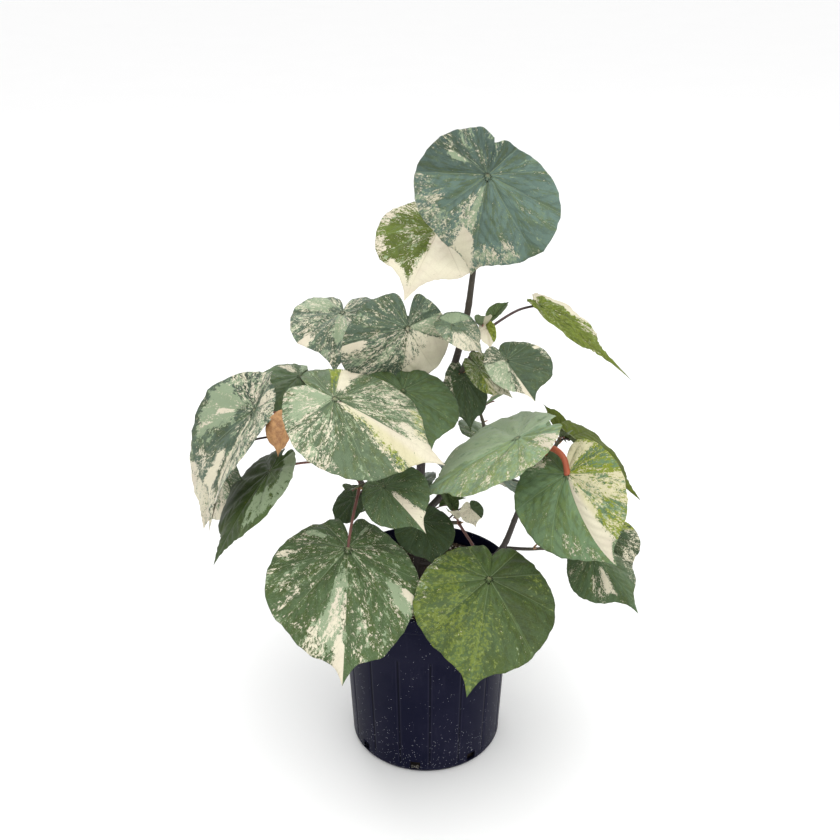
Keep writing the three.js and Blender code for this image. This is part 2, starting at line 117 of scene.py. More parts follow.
# A bud: how far out of the stem's middle it stands, its lean and rise, its shape in parts of its length.
BUD = {"out": 0.6, "lean": 0.7, "rise": 0.8, "length": (9, 15), "width": 0.17, "flat": 0.7,
       "slant": (0.31, 0.52, 0.79)}

# Sizes of the pot in metres: the round heel, the grooves' run, fade and width, the shoulder over them and
# the slope under the band. Turns round the pot are in degrees.
POT = {"heel": 0.007, "run": (0.012, 0.225), "fade": 0.006, "groove": 0.0015, "first_groove": -65,
       "shoulder": 0.0009, "shoulder_rise": 0.002, "band_slope": 0.003}
HOLES = {"count": 8, "first": 36.5, "rows": (4, 11), "half_width": 0.008}
# The mix in metres: its underside, the drop from stem to wall, the stem's foot, and its bumps.
SOIL = {"floor": 0.0032, "floor_share": 0.86, "drop": 0.008, "stem_foot": 0.034, "bump": 0.0016,
        "waves": 90.0, "seed": 5, "gap": 0.0004}
# Crumbs in the front drain hole: number, place round the pot in degrees and spread in radians, how far in,
# heights and sizes.
SPILL = {"count": 34, "turn": -98.5, "spread": 0.052, "depth": (0.0005, 0.0030), "low": 0.0078,
         "rise": 0.0062, "size": (0.0004, 0.0010)}
GRAIN_SEED = 23
# Loose grains: number, smallest and largest size, shape, and two colours.
GRAINS = {
    "perlite": (620, (0.0011, 0.0028), (1, 1, 1), (0.72, 0.70, 0.64), (0.50, 0.47, 0.42)),
    "bark_chips": (900, (0.0022, 0.0060), (1.0, 0.5, 0.28), (0.050, 0.030, 0.020), (0.13, 0.08, 0.05)),
}
# Lights: place, size and power.
LIGHTS = {
    "key": ((0.35, -1.2, 3.5), 3.0, 58),
    "fill": ((1.8, -2.6, 1.7), 2.6, 16),
    "back": ((-0.6, 2.6, 2.9), 1.8, 22),
}
LIT_POINT = (0, 0, 0.5)
FLOOR_REACH, FLOOR_LINES = 30, 13
SENSOR_WIDTH, FARTHEST = 36.0, 200


def leaf(name, joint, length, heading, dip, roll=0, droop=0, width=(1, 1), fold=(0, 0), **more):
    """One leaf: joint of stalk and blade, length to the tip, heading, dip, roll and droop.

    Width, fold and lobes hold a value for its left and one for its right half. More gives its own values
    for those of PLAIN, the radius of its petiole, or the height by which its stalk arches."""
    return {"name": name, "joint": joint, "length": length, "heading": heading, "dip": dip, "roll": roll,
            "droop": droop, "width": width, "fold": fold, **PLAIN, **more}


SHOOTS = {
    "foliage_top": {
        "stem": [(66, 20, 800), (72, 16, 850), (75, 4, 895)], "radius": (4.1, 2.6),
        "leaves": [
            leaf("lime", (18, 80, 838), 144, -112, 24, -10, 6, fold=(5, 6), tuck=0.06),
            leaf("rear", (95, 96, 900), 137, 58, 22, 6, 26),
            leaf("head", (77, -80, 958), 176, -65, 108, 39, 15, (1.04, 0.98), (1, -7), tuck=-0.01,
                 lobes=(0.19, 0.05), notch=0.06),
        ],
    },
    "foliage_upper_right": {
        "stem": [(36, 18, 628), (52, 2, 650), (70, -4, 690), (78, -2, 712)], "radius": (3.8, 2.6),
        "leaves": [
            leaf("fold", (54, -4, 640), 86, -80, 35, -10, 20, (0.66, 0.64)),
            leaf("heart", (109, -70, 696), 76, -54, 32, -6, 0, (1.55, 1.0), (10, 0)),
            leaf("stripe", (74, -36, 671), 66, -26, 36, 55, 0, (0.62, 0.62), wave=0.05),
            leaf("curl", (84, -22, 724), 34, -80, 35, 10, 20, (0.7, 0.7), (25, 25)),
            leaf("wing", (160, 30, 741), 176, -23, 29, 4, 9, (0.5, 0.34), (6, 6), lobes=(0.8, 0.8),
                 tuck=0.05, drip=0.34),
        ],
    },
    "foliage_upper_left": {
        "stem": [(48, 20, 678), (24, 16, 700), (4, 12, 712)], "radius": (3.4, 2.4),
        "leaves": [
            leaf("drape", (34, -42, 738), 64, -25, 18, 22, 60, (0.8, 0.8)),
            leaf("rear", (-50, 140, 658), 114, 143, 34, -4, 32),
            leaf("right", (-27, -30, 729), 135, -106, 78, -29, 70, (0.86, 1.22), (-10, 3), notch=0.34),
            leaf("left", (-125, 70, 713), 123, -94, 12, 3, 26, (1, 1.05), (5, 10), notch=0.28),
        ],
    },
    "foliage_centre": {
        "stem": [(-4, 14, 530), (-14, -8, 556), (-26, -28, 590)], "radius": (4, 2.8),
        "leaves": [
            leaf("low", (-61, -150, 541), 95, -55, 8, 27, 40, (0.97, 0.8), (-6, -15)),
            leaf("dark", (-34, -60, 646), 124, -69, 20, -6, 12, fold=(4, 5)),
            leaf("broad", (-124, -150, 675), 172, -21, 18, 26, 20, (1, 1.06), (-26, 0), tuck=0.01),
        ],
    },
    "foliage_left": {
        "stem": [(-110, -32, 505), (-128, -30, 535), (-150, -16, 572)], "radius": (3.9, 2.5),
        "leaves": [
            leaf("pair_front", (-230, -50, 512), 160, -133, 33, 25, 17, (0.8, 0.92), (-6, 0),
                 lobes=(0.25, 0.25)),
            leaf("dry", (-199, -72, 600), 50, -130, 55, 10, 20, (1.1, 1.1), (20, 20)),
            leaf("pair_rear", (-254, 0, 586), 199, -139, 51, 14, 15, (0.72, 1.0), (14, 13), wave=0.055,
                 lobes=(0.25, 0.12)),
            leaf("pair_low", (-330, 50, 478), 120, -142, 74, 0, 10, (1.2, 1.1), wave=0.05),
            leaf("behind", (-196, 100, 597), 102, -116, 6, -13, 26, fold=(-14, -10)),
        ],
    },
    "foliage_front_left": {
        "stem": [(-60, -70, 500), (-80, -88, 512), (-98, -100, 512)], "radius": (3.5, 2.8),
        "leaves": [
            leaf("small", (-107, -60, 471), 54, -150, 45, -4, 0),
            leaf("great", (-110, -180, 460), 198, -88, 19, -8, 32, (0.94, 1), (-12, -13), tuck=-0.05,
                 lobes=(0.14, 0.14), notch=0.24),
        ],
    },
    "foliage_front_right": {
        "stem": [(-12, 8, 372), (18, -28, 408), (50, -62, 430)], "radius": (4, 2.8),
        "leaves": [
            leaf("inner", (-8, -88, 448), 78, -70, 25, 0, 20),
            leaf("young", (64, -84, 468), 29, -60, 60, 10, 0, (1.1, 1.1)),
            leaf("great", (86, -200, 423), 171, -99, 21, -17, 30, fold=(3, -14), tuck=0.005),
        ],
    },
    "foliage_right": {
        "stem": [(166, -84, 535), (178, -84, 560), (190, -70, 574)], "radius": (3.7, 2.7),
        "leaves": [
            leaf("front", (193, -140, 555), 153, -83, 31, 46, 70, (0.86, 0.94), (-10, 16), petiole=5.6,
                 arch=30, notch=0.28, tuck=0.0),
            leaf("across", (125, -126, 604), 169, -171, 25, 6, 13, (0.92, 0.9), (-5, 0)),
            leaf("rear", (207, -40, 560), 138, -22, 36, -14, 0, (0.78, 0.8), (16, 19), lobes=(0.55, 0.55)),
            leaf("bud", (200, -4, 552), 50, 140, -48, 0, 5, (0.6, 0.6), (25, 25)),
        ],
    },
    "foliage_low_right": {
        "stem": [(113, -70, 391), (161, -70, 389), (200, -66, 392)], "radius": (3, 2.2), "young": 0,
        "leaves": [
            leaf("front", (246, -72, 384), 120, -62, 2, 14, 46, (0.84, 0.86), (-34, -34)),
            leaf("rear", (262, 5, 372), 100, -56, 10, 10, 30),
        ],
    },
    "foliage_back_left": {
        "stem": [(-50, 90, 470), (-54, 112, 500), (-52, 128, 530)], "radius": (3.7, 2.5),
        "leaves": [
            leaf("low", (-68, 142, 486), 160, 143, 28, -5, 28),
            leaf("inner", (4, 184, 488), 160, 128, 26, -7, 27),
            leaf("high", (-60, 167, 549), 148, 116, 23, 6, 27),
        ],
    },
    "foliage_back_right": {
        "stem": [(85, 90, 475), (92, 108, 500), (84, 122, 530)], "radius": (3.5, 2.4),
        "leaves": [
            leaf("low", (177, 140, 412), 162, 11, 39, 8, 28),
            leaf("inner", (114, 204, 428), 161, 34, 27, 8, 27),
            leaf("high", (39, 148, 562), 116, 108, 29, -4, 24),
        ],
    },
    "foliage_back_low": {
        "stem": [(-12, 8, 330), (0, 50, 350), (4, 90, 362)], "radius": (4, 2.8),
        "leaves": [
            leaf("left", (-51, 149, 362), 164, 127, 28, -6, 22),
            leaf("right", (84, 180, 385), 150, 47, 24, -7, 32),
        ],
    },
}

# ------------------------------------------------------------------ colours of the leaves

# Plain tones that the leaves are dealt, in linear red, green and blue.
TONES = {
    "blue": (0.112, 0.170, 0.142),
    "grey": (0.112, 0.158, 0.108),
    "sage": (0.098, 0.140, 0.078),
    "slate": (0.074, 0.108, 0.076),
    "forest": (0.062, 0.100, 0.040),
    "deep": (0.074, 0.116, 0.056),
    "fern": (0.112, 0.175, 0.088),
    "pine": (0.058, 0.088, 0.052),
    "dark": (0.042, 0.068, 0.032),
    "olive": (0.066, 0.104, 0.036),
    "moss": (0.088, 0.122, 0.018),
    "loden": (0.072, 0.098, 0.010),
    "lime": (0.100, 0.136, 0.018),
    "pale": (0.205, 0.290, 0.180),
    "dry": (0.420, 0.210, 0.070),
}

# Colours that a blade's tone is mixed with or, for the warming, multiplied by.
HUES = {
    "warming": (1.06, 0.98, 0.60),
    "fleck": (0.30, 0.36, 0.13),
    "old cream": (0.62, 0.56, 0.44),
    "lime cream": (0.53, 0.50, 0.25),
    "vein in cream": (0.20, 0.15, 0.09),
    "underside": (0.17, 0.21, 0.11),
    "hub": (0.24, 0.17, 0.09),
}

# How a blade is coloured: tone, density of flecks, and zones (kind, from angle, to angle, from part, to
# part), with angles in degrees from the tip, positive on the blade's own right-hand half. A zone that
# leaves out its parts runs from the joint, or out past the margin.
FINISH = {
    "top.head": ("blue", 0.30, [
        ("pale", 5, 12, 0.10, 0.60), ("cream", 2, 13, 0.66, 0.97), ("marble", 2, 30, 0.15),
        ("marble", -30, 74, 0.7), ("pale", 103, 111, 0.40, 0.72), ("marble", 96, 181, 0.2),
        ("marble", -181, -165, 0.3), ("marble", 44, 60, 0.55, 0.90), ("dark", 111, 181), ("dark", 74, 111),
        ("dark", -181, -148)]),
    "top.lime": ("moss", 0.62, [
        ("cream", -181, 3), ("cream", -8, 26, 0.90), ("mottle", 98, 181, 0.75), ("mottle", 40, 98, 0.88)]),
    "upper_right.fold": ("dark", 0.30, [("mottle", 37, 181, 0.7)]),
    "upper_right.heart": ("pine", 0.30, [
        ("mottle", 0, 181), ("pale", 20, 90), ("cream", 0, 9, 0.45), ("marble", -160, -60, 0.82),
        ("cream", -100, -92, 0.82, 1.0)]),
    "upper_right.stripe": ("olive", 0.75, [
        ("mottle", -90, 30, 0.45), ("speckle", -181, 181), ("lime", 20, 60, 0.3)]),
    "upper_right.curl": ("moss", 0.5, [("cream", -20, 181), ("lime", -181, -20)]),
    "upper_right.wing": ("lime", 0.50, [
        ("speckle", -181, 181), ("cream", -181, -44, 0.66), ("cream", -181, -110),
        ("mottle", -44, -18, 0.7)]),
    "upper_left.drape": ("grey", 0.30, [
        ("mottle", -60, 60, 0.45), ("marble", 0, 120, 0.3), ("pale", -181, -60, -1, 0.9)]),
    "upper_left.rear": ("deep", 0.4, []),
    "upper_left.right": ("slate", 0.64, [
        ("cream", -74, -20, 0.50, 0.97), ("mottle", -74, 0, 0.16, 1.1), ("cream", -20, 0, 0.55, 0.95),
        ("marble", -110, 60), ("cream", 62, 74, 0.66, 0.98), ("pale", -111, -74, 0.1, 0.8)]),
    "upper_left.left": ("slate", 0.84, [
        # The pale zone from 85 to 140 is a painted sheen, a reflection of the bright surroundings.
        ("pale", 85, 140, 0.35, 0.95), ("cream", -34, -12, 0.62, 0.98), ("cream", 28, 37, 0.80),
        ("pale", -10, 10, 0.1, 0.6)]),
    "centre.low": ("deep", 0.35, [("cream", -14, 0, 0.25, 1.1)]),
    "centre.dark": ("deep", 0.10, [("cream", 4, 16, 0.1, 0.6)]),
    "centre.broad": ("sage", 0.55, [
        ("cream", 0, 13, 0.04, 1.2), ("lime", 5, 20, 0.10, 1.1), ("mottle", 13, 21, 0.40, 1.2),
        # The pale zone from 120 to 181 is a painted highlight on the lobe.
        ("pale", 120, 181, -1, 0.8), ("marble", 60, 181, 0.3), ("cream", -111, -90, 0.30, 1.0),
        ("lime", -124, -108, 0.2, 1.2), ("lime", -36, -8, 0.86), ("marble", -74, 0, 0.2),
        ("cream", -5, 0, 0.80, 1.2), ("mottle", -12, 0, 0.74, 1.2)]),
    "left.pair_front": ("olive", 0.12, [
        ("dark", -20, 181), ("pale", -150, -60, 0.55), ("pale", -60, -20, 0.4, 0.9)]),
    "left.dry": ("dry", 0.0, []),
    "left.pair_rear": ("slate", 0.62, [
        ("cream", 0, 4, 0.10, 0.70), ("cream", 11, 21, 0.52, 0.95), ("mottle", -16, 40, 0.84),
        ("marble", -160, 0, 0.3), ("mottle", -126, -111, 0.25, 0.9), ("dark", 111, 181, 0.1),
        ("marble", 100, 181), ("pale", 50, 100, 0.3, 0.9), ("cream", 66, 74, 0.35, 0.62)]),
    "left.pair_low": ("deep", 0.9, [("mottle", -40, 60, 0.5), ("marble", -181, 181)]),
    "left.behind": ("deep", 0.15, [("cream", 100, 128, 0.30, 0.9), ("pale", 150, 181, 0.3)]),
    "front_left.small": ("dark", 0.2, []),
    "front_left.great": ("forest", 0.62, [
        ("pale", 3, 14, 0.20, 0.85), ("cream", 0, 5, 0.74, 1.1), ("mottle", 0, 9, 0.40, 0.80),
        ("pale", -57, -44, 0.60, 0.97), ("cream", -59, -53, 0.78, 0.97), ("mottle", 42, 50, 0.66, 1.0),
        ("mottle", 84, 92, 0.66, 0.97), ("pale", 120, 128, 0.5, 0.9), ("pale", -150, -143, 0.5, 0.8),
        ("marble", -16, -4, 0.55, 0.9), ("marble", 9, 22, 0.7)]),
    "front_right.inner": ("dark", 0.2, []),
    "front_right.young": ("deep", 0.1, [("cream", -30, 181), ("dark", -181, -30)]),
    "front_right.great": ("olive", 0.12, [
        ("speckle", -20, 150, 0.25), ("dark", -148, -37), ("speckle", -111, -70, 0.70, 0.96),
        ("speckle", 0, 111, 0.40), ("marble", 60, 111, 0.80)]),
    "right.front": ("fern", 0.16, [
        ("cream", -14, 0, 0.12, 0.95), ("cream", -22, -14, 0.30, 0.62), ("lime", -181, -16),
        ("mottle", -181, -44), ("mottle", -44, -22, -1, 0.60), ("cream", -181, -120, 0.12, 0.95),
        ("marble", -74, 0), ("mottle", 118, 128, 0.6, 0.9), ("marble", 100, 150, 0.5, 0.95),
        ("mottle", 5, 24, 0.72, 1.0)]),
    "right.across": ("pale", 0.15, [
        ("pale", 5, 181), ("speckle", -181, 0), ("marble", -150, -10, 0.25), ("mottle", -140, -111, 0.55),
        ("marble", 12, 60, 0.85)]),
    "right.rear": ("loden", 0.0, []),
    "right.bud": ("loden", 0.0, []),
    "low_right.front": ("deep", 0.30, [
        ("cream", 10, 22, 0.35, 0.86), ("mottle", 80, 105, 0.30, 0.9), ("mottle", 24, 40, 0.5, 1.0),
        ("mottle", -90, -30, 0.8)]),
    "low_right.rear": ("dark", 0.55, [("lime", -90, -60, 0.55), ("mottle", -60, 60, 0.75)]),
    "back_left.low": ("deep", 0.5, [("cream", -12, 0, 0.2, 0.9), ("pale", 0, 14, 0.4, 0.8)]),
    "back_left.inner": ("blue", 0.5, [("cream", 37, 58, 0.4, 0.9)]),
    "back_left.high": ("deep", 0.6, [("lime", 0, 181), ("marble", 0, 181)]),
    "back_right.low": ("blue", 0.5, [("pale", -16, 0, 0.2, 0.95), ("cream", -90, -74, 0.6)]),
    "back_right.inner": ("deep", 0.4, [("cream", 0, 16, 0.2, 0.95), ("pale", -74, -40, 0.5, 0.9)]),
    "back_right.high": ("olive", 0.4, [("speckle", 0, 181)]),
    "back_low.left": ("deep", 0.4, [("cream", -8, 0, 0.3, 1.0)]),
    "back_low.right": ("blue", 0.6, [("cream", -37, -8, 0.4, 0.95)]),
    "top.rear": ("blue", 0.5, [("cream", 0, 12, 0.3, 0.9), ("pale", -60, -37, 0.3, 0.9)]),
}
# A mottled zone is a cream one that is nowhere deep, so that cream covers only a part of it. A shallow
# zone is scaled until its middle has the zone depth, and a limit on a main vein is a quarter turn away.
ZONE_KINDS = ("cream", "lime", "pale", "marble", "speckle", "dark")
MOTTLE_DEPTH = -0.011
ZONE_DEPTH = 0.07
QUARTER_TURN = 90
WHOLE_REACH = (-1, 2)
YOUNG_FINISHES = [("olive", 0.3, []), ("pale", 0.4, [("cream", -181, 0)])]

# Leaf stalks that aren't dark.
STALKS = {"front_left.great": "rose", "left.pair_front": "rose", "right.front": "brick",
          "front_right.great": "rose", "centre.low": "rose", "left.pair_rear": "rose"}

# ------------------------------------------------------------------ settings a user would change


def colour_setting(name, description, default):
    """A colour, in linear red, green and blue."""
    return bpy.props.FloatVectorProperty(name=name, description=description, default=default, subtype="COLOR")


def length_setting(name, description, default):
    """A length, in metres."""
    return bpy.props.FloatProperty(name=name, description=description, default=default, unit="LENGTH")


def share_setting(name, description, default):
    """A share of another size."""
    return bpy.props.FloatProperty(name=name, description=description, default=default)


class LeafSettings(bpy.types.PropertyGroup):
    """Sizes and colours of the leaf blades."""
    thickness: length_setting("Thickness", "Thickness of a blade at its middle", 0.0009)
    vein_depth: length_setting("Vein depth", "Depth of the main veins in a blade 100 mm long", 0.0008)
    pucker: share_setting("Pucker", "Height of the swells between veins, as a part of the length", 0.021)
    ruffle: share_setting("Ruffle", "Height of the margin's ripples, as a part of the length", 0.006)
    pleat: share_setting("Pleat", "Height of the pleats between side veins, as a part of the length", 0.0046)
    cream: colour_setting("Cream", "Colour of the cream zones", (0.66, 0.62, 0.47))
    # This colour is also the colour of the painted sheen in two leaves' pale zones.
    silver_and_painted_sheen: colour_setting("Silver", "Colour of the silvery green zones", (0.310, 0.385, 0.245))
    lime: colour_setting("Lime", "Colour of the yellow-green zones", (0.200, 0.245, 0.026))
    vein: colour_setting("Vein", "Colour of the veins", (0.32, 0.40, 0.24))


class LimbSettings(bpy.types.PropertyGroup):
    """Sizes and colours of stems, boughs and leaf stalks."""
    relief: share_setting("Relief", "Height of the bark's bumps, as a part of the limb's radius", 0.05)
    bark: colour_setting("Bark", "Colour of the woody stems", (0.036, 0.028, 0.026))
    stalk: colour_setting("Stalk", "Colour of the leaf stalks", (0.060, 0.036, 0.034))
    rose: colour_setting("Rose stalk", "Colour of the reddish stalks", (0.19, 0.080, 0.066))
    brick: colour_setting("Brick stalk", "Colour of the thick red stalk", (0.34, 0.085, 0.040))
    sprout: colour_setting("Sprout", "Colour of the young stems", (0.16, 0.15, 0.07))


class PotSettings(bpy.types.PropertyGroup):
    """Sizes and colours of the pot and its potting mix."""
    wall: length_setting("Wall", "Thickness of the pot's wall", 0.0026)
    foot_radius: length_setting("Foot radius", "Outer radius at the floor", 0.121)
    band_height: length_setting("Band height", "Height of the thick band under the rim", 0.026)
    band_step: length_setting("Band step", "How far the band stands out of the wall", 0.003)
    groove_depth: length_setting("Groove depth", "Depth of each groove", 0.0019)
    grooves: bpy.props.IntProperty(
        name="Grooves", description="Number of upright grooves in the lower wall", default=16)
    plastic: colour_setting("Plastic", "Colour of the pot", (0.0038, 0.0044, 0.0168))
    mix: colour_setting("Mix", "Colour of the potting mix", (0.030, 0.019, 0.013))


class StageSettings(bpy.types.PropertyGroup):
    """Floor, light and camera."""
    floor: colour_setting("Floor", "Colour of the floor", (0.96, 0.96, 0.96))
    camera: bpy.props.FloatVectorProperty(
        name="Camera", description="Place of the camera", default=(-0.010, -1.600, 1.350),
        subtype="TRANSLATION")
    tilt: bpy.props.FloatProperty(
        name="Tilt", description="Angle by which the camera looks down", default=math.radians(26),
        subtype="ANGLE")
    focal: share_setting("Focal length", "In image widths", 1200 / 840)


GROUPS = {"hibiscus_leaf": LeafSettings, "hibiscus_limb": LimbSettings, "hibiscus_pot": PotSettings,
          "hibiscus_stage": StageSettings}

# ------------------------------------------------------------------ meshes from arrays


def grid_quads(rows, columns, wrap=True):
    """Quads of a grid of points stored row by row: each cell joins a point to the next column and row."""
    i, j = np.meshgrid(np.arange(rows - 1), np.arange(columns if wrap else columns - 1), indexing="ij")
    k = (j + 1) % columns
    return np.stack([i * columns + j, i * columns + k, (i + 1) * columns + k, (i + 1) * columns + j],
                    axis=-1).reshape(-1, 4)


def fan_triangles(centre, ring):
    """Triangles from one point to each side of a closed ring of points."""
    ring = np.asarray(ring)
    return np.stack([np.full(len(ring), centre), ring, np.roll(ring, -1)], axis=-1)


def end_caps(n, sides):
    """Triangles that close a round body of n points: its first ring to point n, its last to n + 1."""
    ring = np.arange(sides)
    return np.vstack([fan_triangles(n, ring[::-1]), fan_triangles(n + 1, n - sides + ring)])


def repeated(faces, count, size):
    """The same faces for each of several copies of a body that has so many points."""
    return (faces[None] + np.arange(count)[:, None, None] * size).reshape(-1, faces.shape[1])


def polar(radius, angle, z):
    """Points at a distance and an angle round the upright axis and at a height."""
    return np.stack(np.broadcast_arrays(radius * np.cos(angle), radius * np.sin(angle), z), axis=-1)


def make_piece(name, points, quads, triangles=None, material=None):
    """Puts arrays of points, quads and triangles into a smooth mesh object at the origin."""
    triangles = np.zeros((0, 3), int) if triangles is None else triangles
    corners = np.concatenate([quads.ravel(), triangles.ravel()]).astype(np.int32)
    sizes = np.concatenate([np.full(len(quads), 4), np.full(len(triangles), 3)])
    mesh = bpy.data.meshes.new(name)
    mesh.vertices.add(len(points))
    mesh.vertices.foreach_set("co", np.asarray(points, np.float32).ravel())
    mesh.loops.add(len(corners))
    mesh.loops.foreach_set("vertex_index", corners)
    mesh.polygons.add(len(sizes))
    mesh.polygons.foreach_set("loop_start", np.concatenate([[0], np.cumsum(sizes)[:-1]]).astype(np.int32))
    mesh.update(calc_edges=True)
    mesh.polygons.foreach_set("use_smooth", np.ones(len(sizes), bool))
    if mesh.validate():
        raise RuntimeError(f"{name} has faces that don't hold together")
    piece = bpy.data.objects.new(name, mesh)
    bpy.context.scene.collection.objects.link(piece)
    if material:
        mesh.materials.append(material)
    return piece


def add_uv(piece, name, uv):
    """A UV map from one pair of numbers for each point."""
    mesh = piece.data
    corner = np.empty(len(mesh.loops), np.int32)
    mesh.loops.foreach_get("vertex_index", corner)
    layer = mesh.uv_layers.new(name=name)
    layer.data.foreach_set("uv", np.asarray(uv, np.float32)[corner].ravel())


def add_values(piece, name, values):
    """An attribute of three numbers for each point."""
    attribute = piece.data.attributes.new(name, "FLOAT_VECTOR", "POINT")
    attribute.data.foreach_set("vector", np.asarray(values, np.float32).ravel())


def finish_piece(piece, slot, *nodes):
    """Lets the piece ride on the plant and stand for its CAD nodes. The slot is not used."""
    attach(piece, "root")
    if nodes:
        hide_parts(*nodes)
    return piece


def unit(v):
    """Vectors of the same directions, one unit long."""
    return v / np.maximum(np.linalg.norm(v, axis=-1, keepdims=True), 1e-12)


class Path:
    """A smooth curve through points: a centripetal Catmull-Rom spline, read by its share of arc length."""
    SLANT = (0.53, 0.81, 0.24)

    def __init__(self, points, samples=40):
        p = np.asarray(points, float)
        p = np.vstack([2 * p[0] - p[1], p, 2 * p[-1] - p[-2]])
        pieces = [self.span(p[i:i + 4], np.linspace(0, 1, samples, endpoint=False))
                  for i in range(len(p) - 3)]
        self.points = np.vstack(pieces + [p[-2:-1]])
        steps = np.linalg.norm(np.diff(self.points, axis=0), axis=1)
        self.length = steps.sum()
        self.share = np.concatenate([[0], np.cumsum(steps)]) / self.length

    @staticmethod
    def span(p, t):
        """Cubic between the middle two of four points, with end slopes from uneven knots.

        The knots are the square roots of the distances between the points."""
        d = np.maximum(np.sqrt(np.linalg.norm(np.diff(p, axis=0), axis=1)), 1e-9)
        start = ((p[1] - p[0]) / d[0] - (p[2] - p[0]) / (d[0] + d[1]) + (p[2] - p[1]) / d[1]) * d[1]
        end = ((p[2] - p[1]) / d[1] - (p[3] - p[1]) / (d[1] + d[2]) + (p[3] - p[2]) / d[2]) * d[1]
        t = t[:, None]
        return (p[1] + start * t + (-3 * p[1] + 3 * p[2] - 2 * start - end) * t ** 2
                + (2 * p[1] - 2 * p[2] + start + end) * t ** 3)

    def at(self, share):
        """Points at shares of the length."""
        return np.stack([np.interp(share, self.share, self.points[:, k]) for k in range(3)], axis=-1)

    def frames(self, share):
        """Direction and two cross directions, the first of them square to one fixed slanting line."""
        step = 0.5 / (len(self.points) - 1)
        ahead = unit(self.at(np.clip(share + step, 0, 1)) - self.at(np.clip(share - step, 0, 1)))
        across = unit(np.cross(ahead, self.SLANT))
        return ahead, across, np.cross(ahead, across)


def tube(path, radius_at, grid, relief=None, first=0.0):
    """Points, quads and triangles of a round limb along a path, closed at both ends by domes.

    A point is the path's point plus the radius times the cosine and sine of its angle round the path.
    relief(share, angle) scales the radius. Also gives each point's share of length and angle."""
    rings, sides = grid
    share = np.linspace(first, 1.0, rings)
    angle = np.linspace(0, 2 * np.pi, sides, endpoint=False)
    ahead, across, over = path.frames(share)
    s, a = np.meshgrid(share, angle, indexing="ij")
    radius = radius_at(s) * (1 if relief is None else relief(s, a))
    ring = (across[:, None] * np.cos(a)[..., None] + over[:, None] * np.sin(a)[..., None])
    body = path.at(share)[:, None] + ring * radius[..., None]
    ends = np.stack([path.at(share[:1])[0] - ahead[0] * radius[0].mean() * DOMES[0],
                     path.at(share[-1:])[0] + ahead[-1] * radius[-1].mean() * DOMES[1]])
    points = np.vstack([body.reshape(-1, 3), ends])
    shares = np.concatenate([s.ravel(), [first, 1.0]])
    angles = np.concatenate([a.ravel(), [0, 0]])
    return points, grid_quads(rings, sides), end_caps(rings * sides, sides), shares, angles


def joined(parts):
    """One set of points, quads and triangles from several."""
    starts = np.cumsum([0] + [len(p[0]) for p in parts])[:-1]
    points = np.vstack([p[0] for p in parts])
    quads = np.vstack([p[1] + s for p, s in zip(parts, starts)])
    triangles = np.vstack([p[2] + s for p, s in zip(parts, starts)])
    return points, quads, triangles


# ------------------------------------------------------------------ leaf blades


def leaf_axes(item):
    """Right, forward and up directions of a blade at its joint."""
    h, d, r = (math.radians(item[k]) for k in ("heading", "dip", "roll"))
    forward = np.array([math.cos(h) * math.cos(d), math.sin(h) * math.cos(d), -math.sin(d)])
    level = np.array([math.cos(h) * math.sin(d), math.sin(h) * math.sin(d), math.cos(d)])
    side = np.cross(forward, level)
    return side * math.cos(r) - level * math.sin(r), forward, level * math.cos(r) + side * math.sin(r)


def outline(angle, lobes=0.0, tuck=PLAIN["tuck"], notch=PLAIN["notch"], drip=PLAIN["drip"]):
    """Distance from joint to margin, as a part of the length: a rounded heart with a drip tip.

    The lobes behind the joint meet in a notch of its own depth, and the part lobes is taken off their
    reach. The margin is drawn in beside the tip by the tuck, and the tip's drip takes its own share."""
    a = np.abs(angle)
    o, plain_drip = OUTLINE, PLAIN["drip"]
    body = o["body"] + o["lean"] * np.cos(np.radians(a)) + o["oval"] * np.cos(np.radians(2 * a))
    reach = (body * (1 - drip) / (1 - plain_drip)
             + drip * np.exp(-a / (o["drip_turn"] * plain_drip / drip))
             - tuck * np.exp(-(((a - o["tuck_at"]) / o["tuck_turn"]) ** 2))
             - notch * np.exp(-(((180 - a) / o["notch_turn"]) ** 2)))
    return reach * (1 - lobes * np.clip((a - o["lobe_from"]) / o["lobe_run"], 0, 1))


def plan(part, angle):
    """Across and along distances of a plain leaf's points, in parts of its length."""
    reach = part * outline(angle)
    return np.stack([reach * np.sin(np.radians(angle)), reach * np.cos(np.radians(angle))], axis=-1)


def margin(item, angle):
    """Uneven margin: a few slow and quick waves round the outline, each leaf's at its own turn."""
    a, own = np.radians(angle), item["length"] + item["heading"]
    return 1 + sum(height * np.sin(count * a + share * own) for height, count, share in MARGIN_WAVES)


